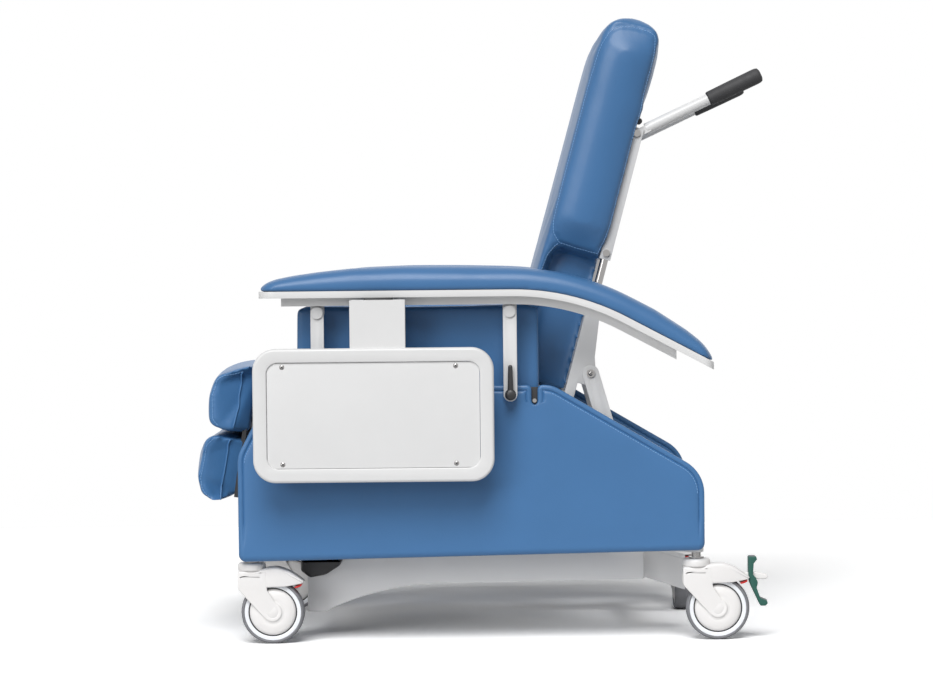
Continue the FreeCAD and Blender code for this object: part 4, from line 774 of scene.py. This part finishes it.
def add_pillow(bm, outline, depth_at, low, high, put):
    """Padded board: both faces follow depth_at by the distance from the outline's edge."""
    pitch = PILLOW_PITCH
    edge = [point.to_2d() for point in resample([point.to_3d() for point in outline], 0.004, closed=True)]
    fine = resample([point.to_3d() for point in edge], 0.001, closed=True)
    tree = KDTree(len(fine))
    for index, point in enumerate(fine):
        tree.insert(point, index)
    tree.balance()
    points = list(edge)
    for reach in PILLOW_ROWS:
        for point in inset(edge, reach):
            if abs(tree.find(point.to_3d())[2] - reach) < 0.0004:
                points.append(point)
    low_x, high_x = min(point.x for point in edge), max(point.x for point in edge)
    low_z, high_z = min(point.y for point in edge), max(point.y for point in edge)
    for column in range(int((high_x - low_x) / pitch)):
        for row in range(int((high_z - low_z) / pitch)):
            point = Vector((low_x + (column + 0.5) * pitch, low_z + (row + 0.5) * pitch))
            if tree.find(point.to_3d())[2] > 0.05:
                points.append(point)
    count = len(edge)
    rim = [(index, (index + 1) % count) for index in range(count)]
    places, _, faces, sources, _, _ = delaunay_2d_cdt(points, rim, [], 1, 1e-6)
    away = [tree.find(point.to_3d())[2] for point in places]
    sheets = []
    for face, way in ((low, 1), (high, -1)):
        sheet = [bm.verts.new(put(point.x, point.y, face + way * depth_at(reach, point.y)))
                 for point, reach in zip(places, away)]
        for corners in faces:
            bm.faces.new([sheet[index] for index in (corners if way < 0 else corners[::-1])])
        sheets.append(sheet)
    on_rim = {source: index for index, group in enumerate(sources) for source in group if source < count}
    for first, last in rim:
        first, last = on_rim[first], on_rim[last]
        bm.faces.new((sheets[0][first], sheets[0][last], sheets[1][last], sheets[1][first]))


def facing(sign):
    """Placing of an outline (x, z) and a distance from the middle, on the side that sign gives."""
    return lambda x, z, y: Vector((x, sign * y, z))


for side, sign in SIDES.items():
    bm = bmesh.new()
    add_pillow(bm, side_outline(), side_depth, SIDE_INNER, SIDE_OUTER, facing(sign))
    item = piece(f"side_board_{side}", mesh_from(f"side_board_{side}", bm, sharp=60), "blue_vinyl", "frame")
    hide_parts(f"side_panel_{side}")
    hem = inset(side_outline(), HEM_STITCH)
    row = [point for point in hem if point.y > 0.21 and abs(point.x - SLOT) > 0.03]
    depths = [SIDE_OUTER - side_depth(HEM_STITCH, point.y) + 0.0003 for point in row]
    face = [Vector((point.x, sign * depth, point.y)) for point, depth in zip(row, depths)]
    turn = next(index for index, point in enumerate(row) if point.x < SLOT)
    start = next(index for index, point in enumerate(row) if point.x > 0.4)
    stitch(f"side_stitching_{side}", [face[start:turn], face[turn:]], "frame")
    # A black sheet inside the board at the back of the notch: painted shade of the notch's depth.
    bm = bmesh.new()
    notch_shade_outline = rounded_loop([(SLOT - 0.009, SLOT_FLOOR - 0.004, 0), (SLOT + 0.009, SLOT_FLOOR - 0.004, 0),
                              (SLOT + 0.009, SIDE_TOP - 0.004, 0), (SLOT - 0.009, SIDE_TOP - 0.004, 0)])
    add_slab(bm, notch_shade_outline, SIDE_INNER + 0.008, SIDE_OUTER - 0.014, 0.0005, facing(sign))
    piece(f"notch_shade_sheet_{side}", mesh_from(f"notch_shade_sheet_{side}", bm, sharp=40), "black_plastic", "frame")

# Casters: forked housing with a fender, covered wheel, tyre, brake tab and pedal, in mm from the stem
TRAIL, AXLE = 41, 62.5
LEG_INNER, LEG_OUTER = 18.6, 23.5
FENDER_OUTER = 22.2
ROOF_HALF, HEAD_HALF, TAB_HALF = 21.6, 23.4, 21.8
PEDAL_HALF, TREAD_HALF, TONGUE_HALF = 13, 10.5, 5
LEG_TAPER = [(40, 0.36), (75, 0.4), (112, 0.95), (142, 1)]
FORK_LEG = [(-27, 142, 0), (-27, 109, 8), (TRAIL - 13, AXLE - 14, 12), (TRAIL, AXLE - 19, 14),
            (TRAIL + 19, AXLE, 18), (TRAIL + 4, 84, 22), (31, 106, 8), (28, 142, 0)]
FORK_HEAD = [(-27, 144.5, 3), (-27, 128, 3), (20, 128, 3), (26, 144.5, 3)]
CAP_RING = [(0, 144), (24.5, 144), (26.8, 145), (27.5, 147), (27.5, 155), (26.6, 158), (24, 159.8), (19, 160),
            (0, 160)]
AXLE_HUB = [(0, 20.9), (10.6, 20.9), (11.2, 20.5), (11.8, 20.8), (16.5, 20.7), (18, 20.2), (18.6, 19)]
FENDER = [(12, 143.5, 0), (30, 147.5, 30), (52, 149, 30), (76, 140, 40), (95, 127, 18), (103, 121, 1.2),
          (96, 118.2, 0), (68, 113.2, 12), (24, 112, 0)]
FENDER_ROOF = [(12, 146, 0), (30, 150, 30), (52, 151.5, 30), (76, 142.5, 40), (95, 129, 18),
               (104.5, 121.5, 1), (98, 120, 1), (88, 126, 8), (72, 133, 20), (50, 139, 20), (12, 138, 0)]
BRAKE_TAB = [(84, 112.2, 0.5), (95, 116.3, 1), (99.2, 118.4, 0.5), (98.2, 114.2, 1.5), (92, 111.2, 2),
             (86, 110, 1)]
PEDAL = [(101.5, 163, 2), (117, 163, 2), (118.5, 156.5, 2), (112, 149, 3), (110.5, 127, 5), (116, 121, 4),
         (120, 112, 4), (117.5, 101, 4), (124.5, 81, 4), (137.5, 76, 2), (139, 70.5, 2), (135, 65.8, 2),
         (124.5, 65.8, 3), (108, 101, 5), (103.5, 112, 5), (101.5, 128, 5)]
PEDAL_TONGUE = [(92, 117, 0), (137, 117.5, 4), (141, 122, 4), (137, 128.5, 5), (118, 131.5, 6),
                (92, 131.5, 0)]
PEDAL_TREADS = [[(124.6, 80.6, 1), (137.4, 75.6, 1), (138.2, 76.8, 0.5), (125.4, 82, 0.5)],
                [(103.5, 162.8, 0.5), (115.5, 162.8, 0.5), (115.5, 164, 0.5), (103.5, 164, 0.5)]]


def caster_frame(corner):
    stem = Vector(joints[f"swivel_{corner}"]["pos_m"])
    trail = Vector(joints[f"spin_{corner}"]["pos_m"]) - stem
    return Matrix.Translation((stem.x, stem.y, 0)) @ Matrix.Rotation(math.atan2(trail.y, trail.x), 4, "Z")


def millimetres(corners):
    return [tuple(number * MM for number in corner) for corner in corners]


def add_side_slab(bm, place, corners, low, high, radius, taper=None):
    """Plate across a caster, from an outline seen from the side; taper thins it by its height."""
    outline = rounded_loop(millimetres(corners), steps=5)
    if sum(a.x * b.y - b.x * a.y for a, b in zip(outline, outline[1:] + outline[:1])) < 0:
        outline.reverse()

    def put(x, z, y):
        if taper:
            inner = math.copysign(LEG_INNER * MM, y)
            y = inner + (y - inner) * between(taper, z / MM)
        return place @ Vector((x, y, z))

    add_slab(bm, outline, low * MM, high * MM, radius * MM, put)


def add_lathe(bm, place, profile, axis="Z", segments=48):
    """Turned shape: profile holds (radius, height) along the axis, closed at a radius of nought."""
    rings = []
    for radius, height in profile:
        ring = []
        for step in range(segments if radius else 1):
            angle = 2 * math.pi * step / segments
            across, up = radius * math.cos(angle), radius * math.sin(angle)
            point = (across, up, height) if axis == "Z" else (across, height, up)
            ring.append(bm.verts.new(place @ (Vector(point) * MM)))
        rings.append(ring)
    for first, last in zip(rings, rings[1:]):
        for step in range(segments):
            following = (step + 1) % segments
            corners = [first[step % len(first)], first[following % len(first)], last[following % len(last)],
                       last[step % len(last)]]
            bm.faces.new(list(dict.fromkeys(corners)))


WHEEL_DISC = [(0, 18.3), (22.8, 18.2), (23.4, 17.9), (24, 18.1), (33, 17.3), (40.5, 15.7), (44.4, 13.4),
              (45.6, 10.5)]
WHEEL_GAP = [(45.6, 10.5), (48, 10.5)]
WHEEL_RING = [(48, 10.5), (48.2, 12.4), (49.5, 13.2), (52.5, 12.6), (55.4, 12.9), (56.2, 11.5)]
TYRE = [(55.8, 11.5), (56.2, 14), (57.4, 15.4), (59.2, 15), (61, 12.6), (62.1, 8.5), (62.5, 3.5)]


def both_faces(profile):
    return profile + [(radius, -height) for radius, height in reversed(profile)]


def turned_piece(name, place, profiles, slot, body, paint=None, axis="Y"):
    bm = bmesh.new()
    for profile in profiles:
        add_lathe(bm, place, profile, axis)
    return piece(name, mesh_from(name, bm, sharp=50), slot, body, paint)


for end in ("front", "rear"):
    for side in SIDES:
        corner = f"{end}_{side}"
        place = caster_frame(corner)
        wheel_place = place @ Matrix.Translation((TRAIL * MM, 0, AXLE * MM))
        bm = bmesh.new()
        for sign in (-1, 1):
            low, high = sorted((sign * LEG_INNER, sign * LEG_OUTER))
            add_side_slab(bm, place, FORK_LEG, low, high, 2.2, taper=LEG_TAPER)
            low, high = sorted((sign * LEG_INNER, sign * FENDER_OUTER))
            add_side_slab(bm, place, FENDER, low, high, 1.7)
            hub = wheel_place @ Matrix.Scale(sign, 4, Vector((0, 1, 0)))
            add_lathe(bm, hub, AXLE_HUB, axis="Y")
        add_side_slab(bm, place, FENDER_ROOF, -ROOF_HALF, ROOF_HALF, 5)
        add_side_slab(bm, place, FORK_HEAD, -HEAD_HALF, HEAD_HALF, 5)
        add_lathe(bm, place, CAP_RING)
        if corner == "rear_left":
            add_side_slab(bm, place, PEDAL_TONGUE, -TONGUE_HALF, TONGUE_HALF, 2.5)
        mesh = mesh_from(f"caster_housing_{corner}", bm, sharp=48)
        fork = piece(f"caster_housing_{corner}", mesh, "white_plastic", f"caster_{corner}")
        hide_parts(f"caster_fork_{corner}")
        wheel = f"wheel_{corner}"
        disc = turned_piece(f"wheel_disc_{corner}", wheel_place, [both_faces(WHEEL_DISC)], "white_plastic",
                            wheel)
        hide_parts(f"caster_wheel_{corner}")
        turned_piece(f"wheel_ring_{corner}", wheel_place, [both_faces(WHEEL_RING)], "white_plastic", wheel,
                     "ring_plastic")
        gaps = [WHEEL_GAP, [(radius, -height) for radius, height in WHEEL_GAP]]
        turned_piece(f"wheel_gap_{corner}", wheel_place, gaps, "white_plastic", wheel, "black_plastic")
        tyre = turned_piece(f"tyre_{corner}", wheel_place, [both_faces(TYRE)], "grey_tyre", wheel)
        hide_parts(f"caster_tyre_{corner}")
        bm = bmesh.new()
        add_side_slab(bm, place, BRAKE_TAB, -TAB_HALF, TAB_HALF, 0.6)
        mesh = mesh_from(f"brake_tab_{corner}", bm, sharp=45)
        tab = piece(f"brake_tab_{corner}", mesh, "red_plastic", f"brake_{corner}")
        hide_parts(f"caster_brake_{corner}")

place = caster_frame("rear_left")
bm = bmesh.new()
add_side_slab(bm, place, PEDAL, -PEDAL_HALF, PEDAL_HALF, 1.5)
pedal = piece("pedal_rocker", mesh_from("pedal_rocker", bm, sharp=45), "green_plastic", "pedal_left")
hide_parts("caster_pedal_left")
bm = bmesh.new()
for tread in PEDAL_TREADS:
    add_side_slab(bm, place, tread, -TREAD_HALF, TREAD_HALF, 0.5)
piece("pedal_treads", mesh_from("pedal_treads", bm, sharp=45), "green_plastic", "pedal_left", "grey_tyre")

# Black moulded covers beside the front of the base, in millimetres
COVER_INNER = 0.195
COVER = [(-346, 158, 2), (-346, 134, 8), (-328, 120, 10), (-296, 126, 30), (-268, 144, 16), (-261, 158, 3)]
for side, sign in SIDES.items():
    bm = bmesh.new()
    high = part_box("base_covers")[1]
    outline = rounded_loop(millimetres(COVER))
    add_slab(bm, outline, COVER_INNER, high.y, 0.007, facing(sign))
    mesh = mesh_from(f"base_cover_{side}", bm, sharp=45)
    item = piece(f"base_cover_{side}", mesh, "black_plastic", "frame")
    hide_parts("base_covers")

# Hard nodes with rounded edges
EDGES = {
    "tray_rim": 0.002, "tray_bracket": 0.0012, "tray_hinge": 0.001, "base_rails": 0.004,
    "base_beams": 0.003, "side_frames": 0.003, "seat_frame": 0.003, "legrest_guides": 0.002,
    "recline_links": 0.001, "recline_crank": 0.001, "handle_channels": 0.0008, "back_frame": 0.001,
}
# Lit and shaded copies of the white paint: painted light on the base, painted shade on the handle channels.
LIT_AND_SHADED_WHITES = {"base_rails": "base_white_painted_light", "base_beams": "base_white_painted_light", "handle_channels": "channel_white_painted_shade"}
for side in SIDES:
    EDGES.update({f"arm_trim_{side}": 0.003, f"arm_post_front_{side}": 0.002, f"arm_post_rear_{side}": 0.002})
for name, width in EDGES.items():
    rounded(name, width, paint=LIT_AND_SHADED_WHITES.get(name))



def rectangle(low_x, low_z, high_x, high_z):
    return [(low_x, low_z), (high_x, low_z), (high_x, high_z), (low_x, high_z)]


# Tray: board brought up near the rim's face, screws with a crossed recess painted as black bars
TRAY_FACE = -0.4145
TRAY_CORNER = 0.012
TRAY_GAP = 0.0006
low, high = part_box("tray_board")
corners = rectangle(low.x + TRAY_GAP, low.z + TRAY_GAP, high.x - TRAY_GAP, high.z - TRAY_GAP)
bm = bmesh.new()
add_slab(bm, rounded_loop([(x, z, TRAY_CORNER) for x, z in corners]), TRAY_FACE, high.y, 0.0007, facing(1))
board = piece("tray_panel", mesh_from("tray_panel", bm, sharp=30), "tray_laminate", "tray")
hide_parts("tray_board")
SCREW_HEAD = [(0, 1.7), (2.4, 1.6), (4.2, 0.9), (5.3, -0.4), (5.4, -2)]
RECESS_LENGTH, RECESS_WIDTH = 0.0031, 0.0006
SCREW_MARGIN = 0.094


def add_screw(heads, recess_shade_bars, place):
    """Screw head that looks along its own Z, with black bars a little proud of it as painted shade of a crossed
    recess.
    """
    add_lathe(heads, place, SCREW_HEAD, segments=24)
    # Black bars standing a little proud of the head top: painted shade of the recess.
    for quarter in (0.5, 1.5):
        turn = place @ Matrix.Rotation(math.pi / 2 * quarter, 4, "Z")
        corners = rectangle(-RECESS_LENGTH, -RECESS_WIDTH, RECESS_LENGTH, RECESS_WIDTH)
        bar = rounded_loop([(x, y, 0) for x, y in corners])
        add_slab(recess_shade_bars, bar, 0.0004, 0.00185, 0.0001, lambda x, y, z: turn @ Vector((x, y, z)), 1)


def face_left(place):
    return Matrix.Translation(place) @ Matrix.Rotation(math.pi / 2, 4, "X")


def face_right(place):
    return Matrix.Translation(place) @ Matrix.Rotation(-math.pi / 2, 4, "X")


def screws(name, places, body, paint="chrome"):
    heads, recess_shade_bars = bmesh.new(), bmesh.new()
    for place in places:
        add_screw(heads, recess_shade_bars, place)
    piece(f"{name}_slots", mesh_from(f"{name}_slots", recess_shade_bars, sharp=40), "chrome", body, "black_plastic")
    return piece(name, mesh_from(name, heads, sharp=50), "chrome", body, paint)


low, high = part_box("tray_screws")
inset_by = (high.z - low.z - 2 * SCREW_MARGIN) / 2
columns = (low.x + inset_by, high.x - inset_by)
corners = [(x, z) for x in columns for z in (low.z + inset_by, high.z - inset_by)]
tray_screws = screws("tray_screw_heads", [face_left((x, TRAY_FACE, z)) for x, z in corners], "tray")
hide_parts("tray_screws")
low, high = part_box("tray_bracket")
STRAP = (-0.2345, -0.1275)
STRAP_FOOT, STRAP_TOP = 0.56, high.z - 0.0005
bm = bmesh.new()
add_slab(bm, rounded_loop([(STRAP[0], STRAP_FOOT, 0), (STRAP[1], STRAP_FOOT, 0), (STRAP[1], STRAP_TOP, 0.002),
                           (STRAP[0], STRAP_TOP, 0.002)]),
         low.y - 0.0005, low.y - 0.0001, 0.0002, facing(1), 1)
piece("bracket_cover", mesh_from("bracket_cover", bm, sharp=40), "white_paint", "tray")

# Button screws in the ends of the armrest's and the recline links' pins
POST_PINS = [(-0.300, 0.650), (0.075, 0.650)]
POST_FACE = 0.3525
LINK_FACE = 0.2548
link_pin = Vector(joints["link_pivot"]["pos_m"])
for side, sign in SIDES.items():
    face = face_left if sign < 0 else face_right
    screws(f"post_screws_{side}", [face((x, sign * POST_FACE, z)) for x, z in POST_PINS], f"arm_{side}",
           "grey_steel")
    screws(f"link_screw_{side}", [face((link_pin.x, sign * LINK_FACE, link_pin.z))], "back")

# Flange along the top of the base's tail plates
TAIL_TOP = [(0.338, 0.170), (0.424, 0.143), (0.424, 0.154), (0.338, 0.181)]
for side, sign in SIDES.items():
    bm = bmesh.new()
    add_slab(bm, rounded_loop([(x, z, 0.002) for x, z in TAIL_TOP]), 0.140, 0.150, 0.002, facing(sign))
    mesh = mesh_from(f"tail_flange_{side}", bm, sharp=45)
    # The flange takes the lighter copy of the white paint: painted light against the shade under the chair.
    piece(f"tail_flange_{side}", mesh, "white_paint", "frame", "base_white_painted_light")

# Clamp levers: a round knob with a slim handle
KNOB = [(0, 16), (7, 15.6), (10, 13.8), (11, 11), (11, 2), (9.5, 0), (0, 0)]
for side, sign in SIDES.items():
    low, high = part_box(f"arm_lever_{side}")
    middle = (low.x + high.x) / 2
    inner, outer = sorted((abs(low.y), abs(high.y)))
    knob = Vector((middle, 0, low.z + 0.011))
    bm = bmesh.new()
    face = face_left if sign < 0 else face_right
    add_lathe(bm, face(Vector((knob.x, sign * inner, knob.z))), KNOB, segments=36)
    handle = rounded_loop([(middle - 0.0058, knob.z, 0), (middle + 0.0058, knob.z, 0),
                           (middle + 0.0042, high.z, 0.0038), (middle - 0.0042, high.z, 0.0038)])
    add_slab(bm, handle, inner + 0.006, outer - 0.002, 0.003, facing(sign))
    lever = piece(f"clamp_lever_{side}", mesh_from(f"clamp_lever_{side}", bm, sharp=45), "black_plastic",
                  node_body[f"arm_lever_{side}"])
    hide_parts(f"arm_lever_{side}")

# Rubber grips on the push handles, turned about the handle's own line in millimetres
GRIP = [(0, 156), (12.4, 156), (14, 157), (14.6, 160), (15.2, 205), (15.6, 258), (15.2, 264), (13.5, 268.5),
        (9, 270.5), (0, 271)]
HANDLE_ANGLE = math.radians(25)
for side in SIDES:
    pivot = Vector(joints[f"handle_fold_{side}"]["pos_m"])
    place = Matrix.Translation(pivot) @ Matrix.Rotation(math.pi / 2 - HANDLE_ANGLE, 4, "Y")
    body = node_body[f"handle_grip_{side}"]
    grip = turned_piece(f"grip_{side}", place, [GRIP], "black_rubber", body, axis="Z")
    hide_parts(f"handle_grip_{side}")

# Floor, light and camera
FLOOR_HALF = 2.4
FLOOR_GREY = 0.8
FLOOR_SEEN = 1.32
floor_mesh = bpy.data.meshes.new("floor")
floor_corners = rectangle(-FLOOR_HALF, -FLOOR_HALF, FLOOR_HALF, FLOOR_HALF)
floor_mesh.from_pydata([(x, y, 0) for x, y in floor_corners], [], [(0, 1, 2, 3)])
floor = bpy.data.objects.new("floor", floor_mesh)
bpy.context.scene.collection.objects.link(floor)
floor_paint = bpy.data.materials.new("floor")
floor_paint.use_nodes = True
floor_surface = floor_paint.node_tree.nodes["Principled BSDF"]
floor_tree = floor_paint.node_tree
floor_colour = floor_tree.nodes.new("ShaderNodeMix")
floor_colour.data_type = "RGBA"
floor_colour.inputs[6].default_value = (FLOOR_GREY, FLOOR_GREY, FLOOR_GREY, 1)
floor_colour.inputs[7].default_value = (FLOOR_SEEN, FLOOR_SEEN, FLOOR_SEEN, 1)
floor_path = floor_tree.nodes.new("ShaderNodeLightPath")
floor_tree.links.new(floor_path.outputs["Is Camera Ray"], floor_colour.inputs[0])
floor_tree.links.new(floor_colour.outputs[2], floor_surface.inputs["Base Color"])
floor_surface.inputs["Roughness"].default_value = 0.6
floor_surface.inputs["Specular IOR Level"].default_value = 0.1
floor_mesh.materials.append(floor_paint)

AMBIENT = 0.06
world = bpy.data.worlds.new("studio")
bpy.context.scene.world = world
world.use_nodes = True
tree = world.node_tree
tree.nodes.clear()
path = tree.nodes.new("ShaderNodeLightPath")
white = tree.nodes.new("ShaderNodeBackground")
ambient = tree.nodes.new("ShaderNodeBackground")
ambient.inputs["Strength"].default_value = AMBIENT
rays = [path.outputs[f"Is {kind} Ray"] for kind in ("Camera", "Glossy", "Transmission")]
either = tree.nodes.new("ShaderNodeMath")
either.operation = "MAXIMUM"
seen = tree.nodes.new("ShaderNodeMath")
seen.operation = "MAXIMUM"
mix = tree.nodes.new("ShaderNodeMixShader")
output = tree.nodes.new("ShaderNodeOutputWorld")
white.inputs["Color"].default_value = (1, 1, 1, 1)
ambient.inputs["Color"].default_value = (1, 1, 1, 1)
tree.links.new(rays[0], either.inputs[0])
tree.links.new(rays[1], either.inputs[1])
tree.links.new(either.outputs[0], seen.inputs[0])
tree.links.new(rays[2], seen.inputs[1])
tree.links.new(seen.outputs[0], mix.inputs[0])
tree.links.new(ambient.outputs[0], mix.inputs[1])
tree.links.new(white.outputs[0], mix.inputs[2])
tree.links.new(mix.outputs[0], output.inputs["Surface"])


def sky_light(name, place, spread, strength):
    """Broad even light from a far place, so the whole floor is equally bright."""
    data = bpy.data.lights.new(name, "SUN")
    data.angle = math.radians(spread)
    data.energy = strength
    lamp = bpy.data.objects.new(name, data)
    bpy.context.scene.collection.objects.link(lamp)
    lamp.location = place
    lamp.rotation_euler = (-Vector(place)).to_track_quat("-Z", "Y").to_euler()


sky_light("key", (-0.08, -0.65, 0.755), 34, 2.7)
sky_light("front", (-0.5, -0.8, 0.33), 26, 0.95)
sky_light("fill", (0.25, 0.75, 0.6), 60, 0.22)

PHOTO_WIDTH = 933
FOCAL_PIXELS = 3162
CAMERA_PLACE = Vector((0.045, -6.5, 0.76))
YAW, PITCH, ROLL = (math.radians(angle) for angle in (-0.51, 1.717, -0.6))
right = Vector((math.cos(YAW), -math.sin(YAW), 0))
ahead = Vector((math.sin(YAW), math.cos(YAW), 0))
level_up = ahead * math.sin(PITCH) + Vector((0, 0, math.cos(PITCH)))
forward = ahead * math.cos(PITCH) - Vector((0, 0, math.sin(PITCH)))
camera_right = right * math.cos(ROLL) + level_up * math.sin(ROLL)
camera_up = level_up * math.cos(ROLL) - right * math.sin(ROLL)
camera_data = bpy.data.cameras.new("camera")
camera_data.sensor_fit = "HORIZONTAL"
camera_data.lens = camera_data.sensor_width * FOCAL_PIXELS / PHOTO_WIDTH
camera = bpy.data.objects.new("camera", camera_data)
bpy.context.scene.collection.objects.link(camera)
turn = Matrix((camera_right, camera_up, -forward)).transposed()
camera.matrix_world = Matrix.Translation(CAMERA_PLACE) @ turn.to_4x4()
bpy.context.scene.camera = camera
bpy.context.scene.view_settings.view_transform = "Standard"
